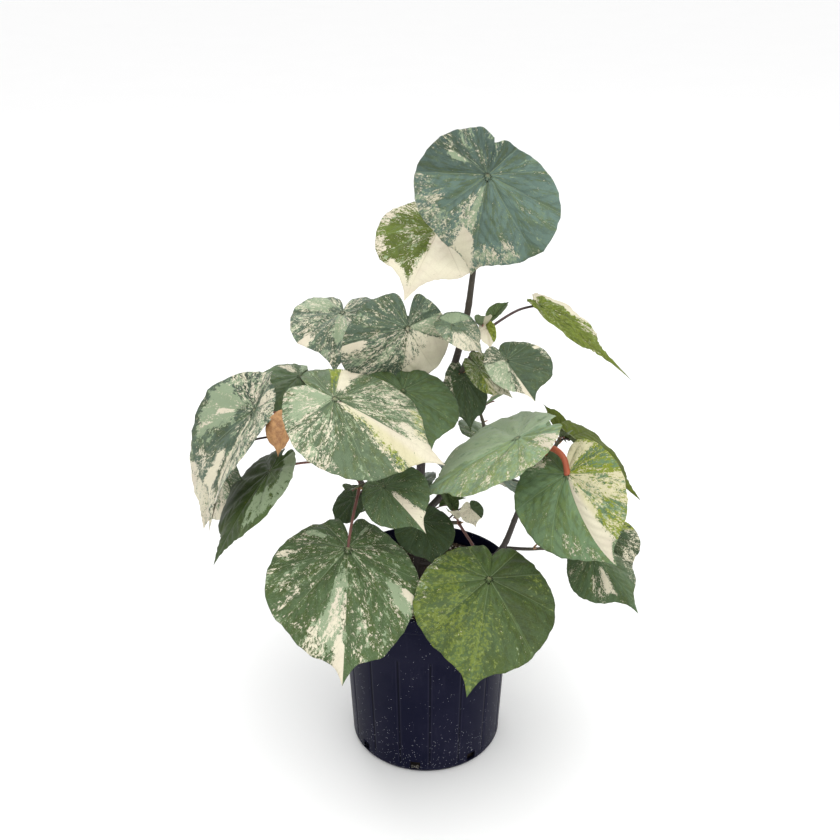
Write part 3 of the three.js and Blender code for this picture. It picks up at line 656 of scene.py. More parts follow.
def blade_height(item, part, angle, settings):
    """Height of a blade over its middle surface, in parts of its length.

    Broad waves round the margin, finer ripples near it, a furrow along each main vein, swells between
    the veins, a pleat for each side vein, and a step where one lobe behind the joint laps the other."""
    wave = item["wave"] * part ** 2 * np.sin(np.radians(3 * angle + item["length"]))
    ripple = settings.ruffle * part ** 5 * (np.sin(np.radians(11 * angle + 40 * item["heading"]))
                                            + 0.6 * np.sin(np.radians(17 * angle + item["length"] * 9)))
    reach = part * outline(angle)
    off_turn = np.radians(angle - np.round(angle / VEIN_STEP) * VEIN_STEP)
    off, along = np.abs(np.sin(off_turn)) * reach, np.cos(off_turn) * reach
    away = 1 - np.exp(-((reach / RELIEF["joint"]) ** 2))
    depth = settings.vein_depth / VEIN_BLADE
    furrow = -depth * np.exp(-(off / RELIEF["furrow"]) ** 2) * (1 - 0.6 * part) * away
    swell = settings.pucker * (1 - np.exp(-(off / RELIEF["swell"]) ** 2)) * np.sin(np.pi * part)
    ladder = (along - off * LADDER_LEAN) / LADDER_STEP
    pleat = settings.pleat * np.sin(2 * np.pi * ladder) * (1 - np.exp(-(off / RELIEF["pleat"]) ** 2)) * away
    past_notch = (180 - np.abs(angle)) / RELIEF["lap_turn"]
    lap = RELIEF["lap"] * part * np.sign(angle) * np.exp(-(past_notch ** 2))
    return wave + ripple * np.exp(-((np.abs(angle) / 180) ** 8)) + furrow + swell + pleat + lap


def blade_place(item, axes, part, angle, height):
    """Place of a blade's points: out from the joint at an angle, each half folded up, the midrib bent.

    The bend turns evenly along the midrib by the droop, and heights stand square to the bent surface."""
    right, forward, up = axes
    width, fold, lobes = (np.where(angle > 0, item[k][1], item[k][0]) for k in ("width", "fold", "lobes"))
    shape = outline(angle, lobes, item["tuck"], item["notch"], item["drip"])
    reach = shape * margin(item, angle) * item["length"] * part
    across = reach * np.sin(np.radians(angle)) * width
    along = reach * np.cos(np.radians(angle))
    bend = math.radians(item["droop"] or STRAIGHT) / item["length"]
    rise = np.abs(across) * np.sin(np.radians(fold)) + height
    turn = along * bend
    return (np.array(item["joint"]) + right * (across * np.cos(np.radians(fold)))[..., None]
            + forward * (np.sin(turn) / bend + rise * np.sin(turn))[..., None]
            + up * ((np.cos(turn) - 1) / bend + rise * np.cos(turn))[..., None])


def zone_fields(zones, part, angle):
    """Signed distance into each kind of zone, in parts of the length.

    A zone's limit that lies on a main vein is sharp, so the colour ends at that vein."""
    reach = outline(angle)
    fields = {kind: np.full(part.shape, -1.0) for kind in ZONE_KINDS}
    for kind, low, high, *parts in zones:
        inner, outer = [*parts, *WHOLE_REACH[len(parts):]]
        past_low, short_of_high = (
            np.where(turn >= 0, QUARTER_TURN, -QUARTER_TURN) if limit in VEIN_ANGLES else turn
            for limit, turn in ((low, angle - low), (high, high - angle)))
        turn = np.minimum(past_low, short_of_high)
        beside = part * reach * np.sin(np.radians(np.clip(turn, -QUARTER_TURN, QUARTER_TURN)))
        inside = np.minimum(beside, np.minimum(part - inner, outer - part) * reach)
        inside = np.where((turn <= -QUARTER_TURN) & (part * reach > 0.01), -1.0, inside)
        inside = inside * max(1.0, ZONE_DEPTH / max(inside.max(), 0.01))
        kind, cap = ("cream", MOTTLE_DEPTH) if kind == "mottle" else (kind, 1.0)
        fields[kind] = np.maximum(fields[kind], np.minimum(inside, cap))
    return np.stack([fields[k] for k in ZONE_KINDS], axis=-1)


def blade_arrays(item, finish, seed, settings, grid=BLADE_GRID):
    """A blade's top and under side on one polar grid, joined round a thin margin, with its fields.

    Rings run from the joint to the margin, and spokes stand closer together at the tip and the notch."""
    rings, spokes = grid
    t = np.linspace(-1, 1, spokes, endpoint=False)
    spoke = 180 * (t - BLADE["spoke_crowding"] * np.sin(2 * np.pi * t) / (2 * np.pi))
    ring = np.linspace(0, 1, rings + 1)[1:] ** BLADE["ring_power"]
    part, angle = np.meshgrid(ring, spoke, indexing="ij")
    part = np.concatenate([[0.0], part.ravel()])
    angle = np.concatenate([[0.0], angle.ravel()])
    length = item["length"]
    middle = blade_height(item, part, angle, settings) * length
    thickness = settings.thickness / MM * min(1, length / BLADE["full_from"])
    half = thickness / 2 * (1 - BLADE["thinned"] * part ** 6)
    axes = leaf_axes(item)
    top = blade_place(item, axes, part, angle, middle + half)
    under = blade_place(item, axes, part, angle, middle - half)
    n = len(part)
    quads = 1 + grid_quads(rings, spokes)
    hub = fan_triangles(0, 1 + np.arange(spokes))
    rim = 1 + (rings - 1) * spokes + np.arange(spokes)
    edge = np.stack([rim, np.roll(rim, -1), np.roll(rim, -1) + n, rim + n], axis=-1)
    tone, density, zones = finish
    flat = plan(part, angle)
    fields = zone_fields(zones, part, angle)
    data = np.stack([np.full(2 * n, density), np.full(2 * n, seed), np.repeat([0.0, 1.0], n)], axis=-1)
    return {"points": np.vstack([top, under]),
            "quads": np.vstack([quads[:, ::-1], quads + n, edge[:, ::-1]]),
            "triangles": np.vstack([hub[:, ::-1], hub + n]),
            "flat": np.vstack([flat, flat]),
            "zones": np.tile(fields[:, :3], (2, 1)),
            "patterns": np.tile(fields[:, 3:], (2, 1)),
            "data": data,
            "tone": np.tile(TONES[tone], (2 * n, 1)),
            "cell": np.vstack([corner + (flat - PLAN_CORNER) / PLAN_SIZE * size
                               for corner, size in MAP_SHARES])}


def blade_piece(name, parts, material, cells=1):
    """One piece from several blades' arrays, each with its own square cell of the baking map."""
    points, quads, triangles = joined([(p["points"], p["quads"], p["triangles"]) for p in parts])
    piece = make_piece(name, points * MM, quads, triangles, material)
    corner = [np.array([i % cells, i // cells]) / cells for i in range(len(parts))]
    add_uv(piece, "OFBake", np.vstack([p["cell"] * 0.99 / cells + c for p, c in zip(parts, corner)]))
    add_uv(piece, "leaf", np.vstack([p["flat"] for p in parts]))
    for key in ("zones", "patterns", "data", "tone"):
        add_values(piece, key, np.vstack([p[key] for p in parts]))
    return piece


def chance(n):
    """A repeatable number from 0 to 1 for each whole number."""
    v = math.sin(n * 12.9898) * 43758.5453
    return v - math.floor(v)


def between(ends, share):
    """The value at a share of the way from one end to the other."""
    return ends[0] + (ends[1] - ends[0]) * share


def leaf_nodes(shoot):
    """Each leaf of a shoot with the point where its stalk leaves the stem: the nodes stand evenly."""
    stem, count = Path(shoot["stem"]), len(shoot["leaves"])
    return [(item, stem.at(np.array([min((i + 1) / count, PETIOLE["last_node"])]))[0])
            for i, item in enumerate(shoot["leaves"])]


def young_leaves(shoot, order):
    """A stem's tip, and the leaves that sprout there in a rosette, each a seeded amount off a spiral."""
    tip = Path(shoot["stem"]).at(np.array([PETIOLE["tip"]]))[0]
    leaves = []
    for k in range(shoot.get("young", YOUNG["per_shoot"])):
        n = YOUNG["seed"] + 20 * order + 4 * k
        length = between(YOUNG["length"], chance(n))
        turn = YOUNG["spiral"] * k + 360 * chance(20 * order) + YOUNG["turn_spread"] * (chance(n + 1) - 0.5)
        item = leaf(f"young_{k}", (0, 0, 0), length, turn, -between(YOUNG["rise"], chance(n + 2)), 0,
                    YOUNG["droop"], (YOUNG["width"],) * 2, (YOUNG["fold"],) * 2)
        item["joint"] = tip + leaf_axes(item)[1] * (YOUNG["petiole"] + length / 3)
        leaves.append(item)
    return tip, leaves


def petiole_path(item, start):
    """Path of a leaf stalk: it rises from its stem and comes to the joint from under the blade.

    An arched stalk climbs over its own height instead."""
    joint = np.array(item["joint"], float)
    _, forward, up = leaf_axes(item)
    seat = joint - up * PETIOLE["under"]
    if "arch" in item:
        over = [start + (joint - start) * share + np.array([aside, 0, height * item["arch"]])
                for share, aside, height in ARCH]
        return Path([start, *over, seat])
    span = np.linalg.norm(joint - start)
    middle = start + (joint - start) * PETIOLE["middle"]
    middle[2] += PETIOLE["rise"] * span
    below = joint - up * PETIOLE["below"] * span - forward * PETIOLE["behind"] * span
    return Path([start, middle + (below - middle) * PETIOLE["pull"], seat])


# ------------------------------------------------------------------ shader expressions


class Wire:
    """A shader socket that takes part in Python expressions: each operator adds a Math node."""

    def __init__(self, shader, socket):
        self.shader = shader
        self.socket = socket

    def math(self, operation, *others, clamp=False):
        """This socket and others through one Math node."""
        inputs = {0: self, **{i + 1: other for i, other in enumerate(others)}}
        return self.shader.node("ShaderNodeMath", {"operation": operation, "use_clamp": clamp}, inputs)

    def flipped(self, operation, other):
        """The other value first, for an operator's reflected form."""
        return self.shader.node("ShaderNodeMath", {"operation": operation}, {0: other, 1: self})

    def __add__(self, other):
        return self.math("ADD", other)

    __radd__ = __add__

    def __sub__(self, other):
        return self.math("SUBTRACT", other)

    def __rsub__(self, other):
        return self.flipped("SUBTRACT", other)

    def __mul__(self, other):
        return self.math("MULTIPLY", other)

    __rmul__ = __mul__

    def __truediv__(self, other):
        return self.math("DIVIDE", other)

    def __rtruediv__(self, other):
        return self.flipped("DIVIDE", other)

    def __gt__(self, other):
        return self.math("GREATER_THAN", other)

    def __abs__(self):
        return self.math("ABSOLUTE")

    def least(self, other):
        """The smaller of this and the other."""
        return self.math("MINIMUM", other)

    def most(self, other):
        """The larger of this and the other."""
        return self.math("MAXIMUM", other)

    def clamped(self):
        """This, kept between 0 and 1."""
        return self.math("ADD", 0.0, clamp=True)

    def step(self, low, high):
        """0 below low, 1 above high, and a smooth rise between them."""
        return self.shader.node("ShaderNodeMapRange", {"interpolation_type": "SMOOTHSTEP"},
                                {"Value": self, "From Min": low, "From Max": high})


class Shader:
    """A material with one Principled surface, whose nodes are made by name."""

    def __init__(self, name, **fixed):
        self.material = bpy.data.materials.new(name)
        self.material.use_nodes = True
        self.tree = self.material.node_tree
        self.surface = self.tree.nodes["Principled BSDF"]
        for socket, value in fixed.items():
            self.surface.inputs[socket.replace("_", " ")].default_value = value

    def node(self, kind, settings=None, inputs=None, out=0):
        """Adds a node: its settings first, then the values or links of its sockets."""
        node = self.tree.nodes.new(kind)
        for key, value in (settings or {}).items():
            setattr(node, key, value)
        for key, value in (inputs or {}).items():
            self.feed(node.inputs[key], value)
        return Wire(self, node.outputs[out])

    def feed(self, socket, value):
        """Links a wire to a socket, or sets the socket's own value."""
        if isinstance(value, Wire):
            self.tree.links.new(value.socket, socket)
        elif socket.type == "RGBA" and len(value) == 3:
            socket.default_value = (*value, 1.0)
        else:
            socket.default_value = value

    def mix(self, share, a, b, blend="MIX"):
        """A colour share of the way from a to b."""
        kind = {"data_type": "RGBA", "blend_type": blend}
        return self.node("ShaderNodeMix", kind, {0: share, 6: a, 7: b}, 2)

    def scaled(self, colour, share):
        """A colour times a number."""
        return self.node("ShaderNodeVectorMath", {"operation": "SCALE"}, {0: colour, 3: share})

    def noise(self, vector, scale, detail=4.0, roughness=0.55, distortion=0.0):
        """Cloudy noise round 0.5."""
        return self.node("ShaderNodeTexNoise", {}, {"Vector": vector, "Scale": scale, "Detail": detail,
                                                    "Roughness": roughness, "Distortion": distortion})

    def cells(self, vector, scale, feature="F1"):
        """Distance to the nearest cell's centre, or to its edge."""
        return self.node("ShaderNodeTexVoronoi", {"feature": feature}, {"Vector": vector, "Scale": scale})

    def vector(self, x, y, z):
        """A vector of three numbers."""
        return self.node("ShaderNodeCombineXYZ", {}, {0: x, 1: y, 2: z})

    def parts(self, vector):
        """The three numbers of a vector."""
        return [self.node("ShaderNodeSeparateXYZ", {}, {0: vector}, k) for k in range(3)]

    def place(self):
        """Object coordinates, in metres."""
        return self.node("ShaderNodeTexCoord", out=3)

    def uv(self, name):
        """Coordinates of one of the piece's own UV maps."""
        return self.node("ShaderNodeUVMap", {"uv_map": name})

    def lot(self, x, y, z):
        """A number from -0.5 to 0.5, the same all over one cell."""
        cell = self.vector(x, y, z)
        return self.node("ShaderNodeTexWhiteNoise", {"noise_dimensions": "3D"}, {"Vector": cell}) - 0.5

    def values(self, name):
        """The three numbers of one of the piece's own attributes."""
        return self.parts(self.node("ShaderNodeAttribute", {"attribute_name": name}, out=1))

    def tone(self):
        """The piece's own base colour at each point."""
        return self.node("ShaderNodeAttribute", {"attribute_name": "tone"}, out=0)

    def bump(self, height, strength, distance):
        """A normal tilted by a height that stands so many metres for each unit of it."""
        return self.node("ShaderNodeBump", {}, {"Height": height, "Strength": strength, "Distance": distance})

    def finish(self, **channels):
        """Feeds the surface's channels and gives the material."""
        for socket, value in channels.items():
            self.feed(self.surface.inputs[socket.replace("_", " ")], value)
        return self.material


def blade_material(settings):
    """Variegated leaf: two tones of green, silvery and cream patches that end at veins or in ragged
    islands, yellow-green marbling, pale veins with their side veins, and a matt paler underside.
    Painted shade darkens the creases at side veins and the groove beside each main vein, and painted
    light and shade give each facet between the veins its own brightness.

    A patch shows where its grain, raised inside its own zones, stands over a level that density lowers."""
    sh = Shader("leaf blade", Specular_IOR_Level=0.13)
    u, v, _ = sh.parts(sh.uv("leaf"))
    cream_field, lime_field, pale_and_painted_sheen_field = sh.values("zones")
    marble_field, speckle_field, dark_field = sh.values("patterns")
    density, seed, under = sh.values("data")
    tone = sh.tone()
    reach = (u * u + v * v).math("SQRT")
    angle = u.math("ARCTAN2", v)
    step = math.radians(VEIN_STEP)
    vein = (angle / step).math("ROUND")
    off = (angle - vein * step).math("SINE") * reach
    along = (angle - vein * step).math("COSINE") * reach
    ladder = (along - abs(off) * LADDER_LEAN) / LADDER_STEP

    # Grains, stretched along the veins or round the joint.
    streaks = sh.vector(angle * 2.2, reach * 1.6, seed * 3.1)
    flat = sh.vector(u, v, seed)
    splash = sh.noise(streaks, 3.0, 8.0, 0.66, 0.3)
    drift = sh.noise(sh.vector(angle * 2.4, reach * 1.4, seed * 5.3 + 7.0), 3.4, 8.0, 0.68, 0.3)
    spots = sh.noise(sh.vector(off * 34.0, along * 19.0, seed + vein * 3.7), 1.0, 9.0, 0.80, 0.4)
    flecks = sh.noise(sh.vector(off * 64.0, along * 32.0, seed + vein * 5.3 + 20.0), 1.0, 8.0, 0.78, 0.45)
    broad = sh.noise(sh.vector(u, v, seed + 40.0), 3.0, 3.0, 0.5)
    sector = vein + 0.3 * off.math("SIGN")
    lot = sh.lot(sector, ladder.math("FLOOR"), seed)
    # Painted light and shade: a brightness of its own for each facet between main veins.
    painted_facet_light = sh.lot(sector, 3.0, seed + 0.5)

    # Masks of the silvery patches, some of which are painted sheen, and of the cream patches.
    marble = marble_field.step(-0.03, 0.05)
    dark = dark_field.step(-0.02, 0.02)
    amount = (density + 0.62 * marble - 0.25 * dark).clamped()
    silver_grain = splash * 0.38 + spots * 0.62 + lot * 0.05
    cream_grain = drift * 0.35 + flecks * 0.65 + lot * 0.05
    silver_and_painted_sheen = (silver_grain + 0.17 * pale_and_painted_sheen_field.step(-0.05, 0.05) - (0.626 - 0.105 * amount)).step(0.0, 0.008)
    creamy = (cream_grain + 0.19 * cream_field.step(-0.05, 0.045) - (0.640 - 0.118 * amount)).step(0.0, 0.007)
    shown = amount > 0.01
    silver_and_painted_sheen = silver_and_painted_sheen * shown
    creamy = creamy * shown
    shade = (splash - drift).step(-0.02, 0.03)
    fine = sh.noise(sh.vector(u, v, seed + 60.0), 30.0, 5.0, 0.7, 0.3)

    # Green body, with painted shade in the creases at side veins and in the groove beside a main vein, and
    # painted light and shade that give each facet its own brightness.
    rung = abs(ladder.math("FRACT") - 0.5)
    painted_crease_shade = (1 - rung.step(0.0, 0.24)) * abs(off).step(0.004, 0.03) * (1 - abs(off).step(0.05, 0.20))
    groove = 1 - abs(off + 0.012).step(0.0, 0.015)
    # The painted shade and light above, as one factor on the green.
    relief = 1 - 0.20 * painted_crease_shade - 0.18 * groove * reach.step(0.02, 0.07) * (1 - reach).clamped() + 0.24 * painted_facet_light
    warm = sh.mix(1.0, tone, HUES["warming"], "MULTIPLY")
    green = sh.mix((drift * 0.6 + spots * 0.4).step(0.47, 0.56) * 0.75, tone, warm)
    green = sh.scaled(green, (0.90 + 0.20 * shade + 0.40 * (broad - 0.5)) * (1 - 0.34 * dark) * relief)
    limey = (drift * 0.6 + fine * 0.4 + 0.16 * lime_field.step(-0.05, 0.05) - 0.635).step(0.0, 0.012)
    speckle = (fine * 0.6 + splash * 0.4 + 0.12 * speckle_field.step(-0.15, 0.20) - 0.600).step(-0.02, 0.07)
    bright = sh.mix(fine.step(0.55, 0.66), settings.lime, HUES["fleck"])
    body = sh.mix(limey, green, settings.lime)
    body = sh.mix(speckle * 0.50, body, bright)
    body = sh.mix(silver_and_painted_sheen, body, sh.mix(0.24, settings.silver_and_painted_sheen, green))
    cream = sh.mix((broad - 0.5).step(-0.12, 0.18), settings.cream, HUES["old cream"])
    cream = sh.mix(lime_field.step(-0.03, 0.04) * 0.50, cream, HUES["lime cream"])
    body = sh.mix(creamy, body, cream)

    # Veins: the main ones, the rungs between them and the finest net, then the joint's brown hub.
    main = (1 - abs(off).step(0.0008, 0.0044)) * (1.05 - reach * 0.9).clamped()
    side = (1 - rung.step(0.010, 0.035)) * abs(off).step(0.004, 0.02) * 0.30
    net = (1 - sh.cells(flat, 34.0, "DISTANCE_TO_EDGE").step(0.01, 0.10)) * 0.16
    veins = main.most(side).most(net)
    vein_colour = sh.mix(creamy, settings.vein, HUES["vein in cream"])
    body = sh.mix(veins * (0.18 + 0.50 * density).least(0.42).most(0.45 * creamy), body, vein_colour)
    body = sh.mix(under * 0.22, body, HUES["underside"])
    hub = 1 - reach.step(0.002, 0.026)
    body = sh.mix(hub * 0.40, body, HUES["hub"])

    height = (1 - veins) * (1 - 2 * under) + (spots - 0.5) * 0.25 + (splash - 0.5) * 0.2
    normal = sh.bump(height, 0.50, 0.0008)
    roughness = 0.38 + 0.08 * creamy + 0.20 * under + 0.10 * (spots - 0.5)
    return sh.finish(Base_Color=body, Roughness=roughness, Normal=normal)


def dry_material():
    """Withered leaf: tan with darker blotches and paler specks."""
    sh = Shader("dry leaf")
    u, v, _ = sh.parts(sh.uv("leaf"))
    blotch = sh.noise(sh.vector(u, v, 3.0), 5.0, 5.0, 0.6)
    fine = sh.noise(sh.vector(u, v, 9.0), 30.0, 4.0, 0.6)
    colour = sh.mix(blotch.step(0.35, 0.7), (0.50, 0.27, 0.11), (0.26, 0.12, 0.05))
    colour = sh.mix(fine.step(0.5, 0.75) * 0.5, colour, (0.60, 0.40, 0.20))
    normal = sh.bump(fine + blotch, 0.5, 0.001)
    return sh.finish(Base_Color=colour, Roughness=0.6 + 0.2 * (fine - 0.5), Normal=normal)


def stem_material(name, streak):
    """Stem or stalk: its own tone with darker streaks along it, pale pores and a soft bloom."""
    sh = Shader(name, Specular_IOR_Level=0.35)
    x, y, z = sh.parts(sh.place())
    tone = sh.tone()
    lines = sh.noise(sh.vector(x * 6.0, y * 6.0, z), streak, 4.0, 0.6)
    mottle = sh.noise(sh.place(), 60.0, 5.0, 0.6)
    pores = (1 - sh.cells(sh.vector(x, y, z * 0.5), 420.0).step(0.16, 0.30)) * mottle.step(0.46, 0.62)
    body = sh.scaled(tone, 0.8 + 0.5 * mottle)
    body = sh.mix(lines.step(0.4, 0.7) * 0.5, body, sh.scaled(body, 0.45))
    body = sh.mix(pores * 0.35, body, (0.26, 0.21, 0.17))
    normal = sh.bump(lines + mottle * 0.6 + pores * 0.5, 0.45, 0.0008)
    return sh.finish(Base_Color=body, Roughness=0.55 + 0.25 * (mottle - 0.5), Normal=normal)


def plastic_material(settings):
    """Navy-black moulded plastic with faint mould marks, rubs and white dust, thickest at the foot, and with
    painted shade in the grooves and a painted highlight along their lips.
    """
    sh = Shader("pot plastic", Specular_IOR_Level=0.05)
    place = sh.place()
    x, y, z = sh.parts(place)
    grain = sh.noise(place, 700.0, 3.0, 0.6)
    cloud = sh.noise(place, 9.0, 4.0, 0.6)
    rub = sh.noise(sh.vector(x * 8.0, y * 8.0, z), 14.0, 5.0, 0.65)
    low = 1 - (z / 0.11).clamped()
    speck = 1 - sh.cells(place, 330.0).step(0.06, 0.17)
    dust = speck * (sh.noise(place, 120.0, 3.0, 0.6) - 0.566 + 0.16 * low).step(0.0, 0.03)
    film = (cloud - 0.46).clamped() * (0.04 + 0.16 * low)
    body = sh.mix(cloud.step(0.35, 0.7) * 0.5, settings.plastic, (0.010, 0.010, 0.026))
    body = sh.mix(rub.step(0.56, 0.72) * 0.25, body, (0.019, 0.019, 0.036))
    step = 2 * math.pi / settings.grooves
    turn = (y.math("ARCTAN2", x) - math.radians(POT["first_groove"])) / step
    off = (turn - turn.math("ROUND")) * step * settings.foot_radius
    low_end, high_end = POT["run"]
    run = z.step(low_end, low_end + POT["fade"]) * (1 - z.step(high_end - POT["fade"], high_end))
    # Painted shade down each groove, and a painted highlight along the lips beside it.
    groove = 1 - abs(off).step(0.0005, 0.0016)
    painted_lip_highlight = 1 - abs(abs(off) - 0.0027).step(0.0003, 0.0012)
    body = sh.mix(groove * 0.6 * run, body, (0.0012, 0.0012, 0.003))
    body = sh.mix(painted_lip_highlight * 0.3 * run, body, (0.030, 0.030, 0.050))
    body = sh.mix(film, body, (0.15, 0.15, 0.20))
    body = sh.mix(dust, body, (0.70, 0.72, 0.78))
    normal = sh.bump(grain * 0.5 + cloud + dust * 0.6, 0.25, 0.0006)
    return sh.finish(Base_Color=body, Roughness=0.40 + 0.16 * (cloud - 0.5) + 0.4 * dust, Normal=normal)


def mix_material(settings):
    """Moist potting mix: dark crumbs of bark and peat with paler fibres."""
    sh = Shader("potting mix")
    place = sh.place()
    crumb = sh.cells(place, 150.0)
    fine = sh.noise(place, 380.0, 4.0, 0.65)
    patch = sh.noise(place, 22.0, 4.0, 0.6)
    body = sh.mix(patch.step(0.35, 0.65), settings.mix, (0.062, 0.037, 0.022))
    body = sh.mix(fine.step(0.56, 0.68) * 0.6, body, (0.13, 0.085, 0.05))
    normal = sh.bump(crumb * 0.8 + fine * 0.6, 0.9, 0.003)
    return sh.finish(Base_Color=body, Roughness=0.88 + 0.1 * (fine - 0.5), Normal=normal)


def grain_material(name, colour, second, scale):
    """Loose grains: two colours mottled, with a rough face."""
    sh = Shader(name)
    mottle = sh.noise(sh.place(), scale, 4.0, 0.6)
    body = sh.mix(mottle.step(0.35, 0.65), colour, second)
    return sh.finish(Base_Color=body, Roughness=0.85 + 0.1 * (mottle - 0.5),
                     Normal=sh.bump(mottle, 0.6, 0.001))


def floor_material(settings):
    """Plain pale floor with a barely seen mottle."""
    sh = Shader("floor")
    mottle = sh.noise(sh.place(), 3.0, 3.0, 0.5)
    body = sh.scaled(tuple(settings.floor), 0.99 + 0.02 * mottle)
    return sh.finish(Base_Color=body, Roughness=0.9 + 0.05 * (mottle - 0.5))


# ------------------------------------------------------------------ operators


def bark_relief(settings, seed):
    """Scale of a limb's radius: low ridges, uneven swells and a ring at each old leaf scar."""
    def relief(share, angle):
        ridges = np.sin(5 * angle + 9 * np.sin(7 * share + seed)) * np.sin(31 * share + 2 * angle + seed)
        swells = np.sin(17 * share + seed) * np.cos(2 * angle + seed)
        scars = np.exp(-(((share[..., None] - np.array(SCARS)) / 0.006) ** 2)).sum(axis=-1)
        return 1 + settings.relief * (0.35 * ridges + 0.45 * swells) + 2.2 * settings.relief * scars
    return relief


def flared(path, thick, thin, flare, flare_height):
    """Radius that tapers evenly, with a flare at the foot that dies away with height."""
    def radius(share):
        return thick + (thin - thick) * share + flare * np.exp(-share * path.length / flare_height)
    return radius


class HIBISCUS_OT_limbs(bpy.types.Operator):
    """Trunk and boughs as round limbs with the bark's relief, each in the place of its CAD node"""
    bl_idname = "hibiscus.limbs"
    bl_label = "Trunk and boughs"

    def execute(self, context):
        settings = context.scene.hibiscus_limb
        material = stem_material("bark", 5.0)
        for seed, (name, limb) in enumerate({"trunk": TRUNK, **BOUGHS}.items()):
            path = Path(limb["path"])
            radius = flared(path, *limb["radius"], limb.get("flare", 0), limb.get("flare_height", 1))
            first = self.soil_share(path) if name == "trunk" else TRUNK_CORE / path.length
            relief = bark_relief(settings, seed)
            points, quads, triangles, shares, angles = tube(path, radius, LIMB_GRID, relief, first)
            piece = make_piece("limb_" + name, points * MM, quads, triangles, material)
            add_uv(piece, "OFBake", np.stack([angles / (2 * np.pi), shares], axis=-1) * 0.98 + 0.01)
            young = np.clip((shares - YOUNG_END["from"]) / (1 - YOUNG_END["from"]), 0, 1)[:, None]
            young = young * YOUNG_END[name.split("_")[0]]
            add_values(piece, "tone", between((np.array(settings.bark), np.array(settings.sprout)), young))
            finish_piece(piece, "bark", name)
        return {"FINISHED"}

    @staticmethod
    def soil_share(path):
        """Share of the trunk's path at which it leaves the soil."""
        soil = SOIL_BOX[1][2] / MM
        share = np.linspace(0, 1, 400)
        return float(share[np.argmax(path.at(share)[:, 2] > soil)])


def mass_of(node):
    """Name of a foliage mass without its first word."""
    return node.removeprefix("foliage_")


def stalk_radius(item, thin, part=1.0):
    """Radius of a leaf stalk: thinner in the middle, with a swollen joint at each end."""
    radius = part * item.get("petiole", min(PETIOLE["thin"] + PETIOLE["thicken"] * item["length"], thin))

    def radius_at(share):
        swollen = 0.30 * np.exp(-((share / 0.05) ** 2)) + 0.22 * np.exp(-(((1 - share) / 0.05) ** 2))
        return radius * (0.92 - 0.20 * share + swollen)
    return radius_at


def shoot_tubes(mass, shoot, order):
    """Tubes of one shoot: its stem, the stalk of each leaf, and the stalks of its young leaves."""
    thick, thin = shoot["radius"]
    tubes = [("stem", Path(shoot["stem"]), lambda s: thick + (thin - thick) * s)]
    for item, base in leaf_nodes(shoot):
        kind = STALKS.get(f"{mass}.{item['name']}", "dark")
        tubes.append((kind, petiole_path(item, base), stalk_radius(item, thin)))
    tip, leaves = young_leaves(shoot, order)
    for item in leaves:
        tubes.append(("rose", petiole_path(item, tip), stalk_radius(item, thin, PETIOLE["young"])))
    return tubes


class HIBISCUS_OT_stalks(bpy.types.Operator):
    """Stem and leaf stalks of each foliage mass, joined into one piece a mass"""
    bl_idname = "hibiscus.stalks"
    bl_label = "Stems and leaf stalks"

    def execute(self, context):
        settings = context.scene.hibiscus_limb
        material = stem_material("leaf stalk", 9.0)
        tones = {"stem": np.array(settings.bark) * 1.3, "dark": np.array(settings.stalk),
                 "sprout": np.array(settings.sprout), "rose": np.array(settings.rose),
                 "brick": np.array(settings.brick)}
        for order, (name, shoot) in enumerate(SHOOTS.items()):
            parts, tone, cells = [], [], []
            tubes = shoot_tubes(mass_of(name), shoot, order)
            for k, (kind, path, radius) in enumerate(tubes):
                points, quads, triangles, shares, angles = tube(path, radius, STALK_GRID)
                parts.append((points, quads, triangles))
                fresh = np.clip(shares, 0, 1)[:, None]
                to = tones["sprout" if kind == "stem" else kind]
                tone.append((tones[kind] * (1 - 0.4 * fresh) + 0.4 * fresh * to)
                            * (0.75 + 0.4 * chance(31 * order + k)))
                cells.append(np.stack([(k + angles / 7.0) / len(tubes), shares * 0.98], axis=-1))
            points, quads, triangles = joined(parts)
            piece = make_piece("stalks_" + mass_of(name), points * MM, quads, triangles, material)
            add_uv(piece, "OFBake", np.vstack(cells))
            add_values(piece, "tone", np.vstack(tone))
            finish_piece(piece, "foliage", name)
        return {"FINISHED"}


class HIBISCUS_OT_blades(bpy.types.Operator):
    """Each grown leaf's blade, with its veins, swells and margin, coloured by its own entry"""
    bl_idname = "hibiscus.blades"
    bl_label = "Leaf blades"

    def execute(self, context):
        settings = context.scene.hibiscus_leaf
        green, dry = blade_material(settings), dry_material()
        seed = 0
        for node, shoot in SHOOTS.items():
            for item in shoot["leaves"]:
                seed += 1
                finish = FINISH[f"{mass_of(node)}.{item['name']}"]
                arrays = blade_arrays(item, finish, seed, settings)
                material = dry if finish[0] == "dry" else green
                piece = blade_piece(f"blade_{mass_of(node)}_{item['name']}", [arrays], material)
                finish_piece(piece, "foliage", node)
        return {"FINISHED"}


class HIBISCUS_OT_young(bpy.types.Operator):
    """The rosettes of young leaves at the stems' tips, joined into one piece"""
    bl_idname = "hibiscus.young"
    bl_label = "Young leaves"

    def execute(self, context):
        settings = context.scene.hibiscus_leaf
        parts, masses = [], []
        for order, (name, shoot) in enumerate(SHOOTS.items()):
            for k, item in enumerate(young_leaves(shoot, order)[1]):
                finish = YOUNG_FINISHES[(order + k) % len(YOUNG_FINISHES)]
                seed = YOUNG["first_seed"] + len(parts)
                parts.append(blade_arrays(item, finish, seed, settings, YOUNG_GRID))
                masses.append(name)
        piece = blade_piece("young_leaves", parts, blade_material(settings), cells=5)
        finish_piece(piece, "foliage", *dict.fromkeys(masses))
        return {"FINISHED"}


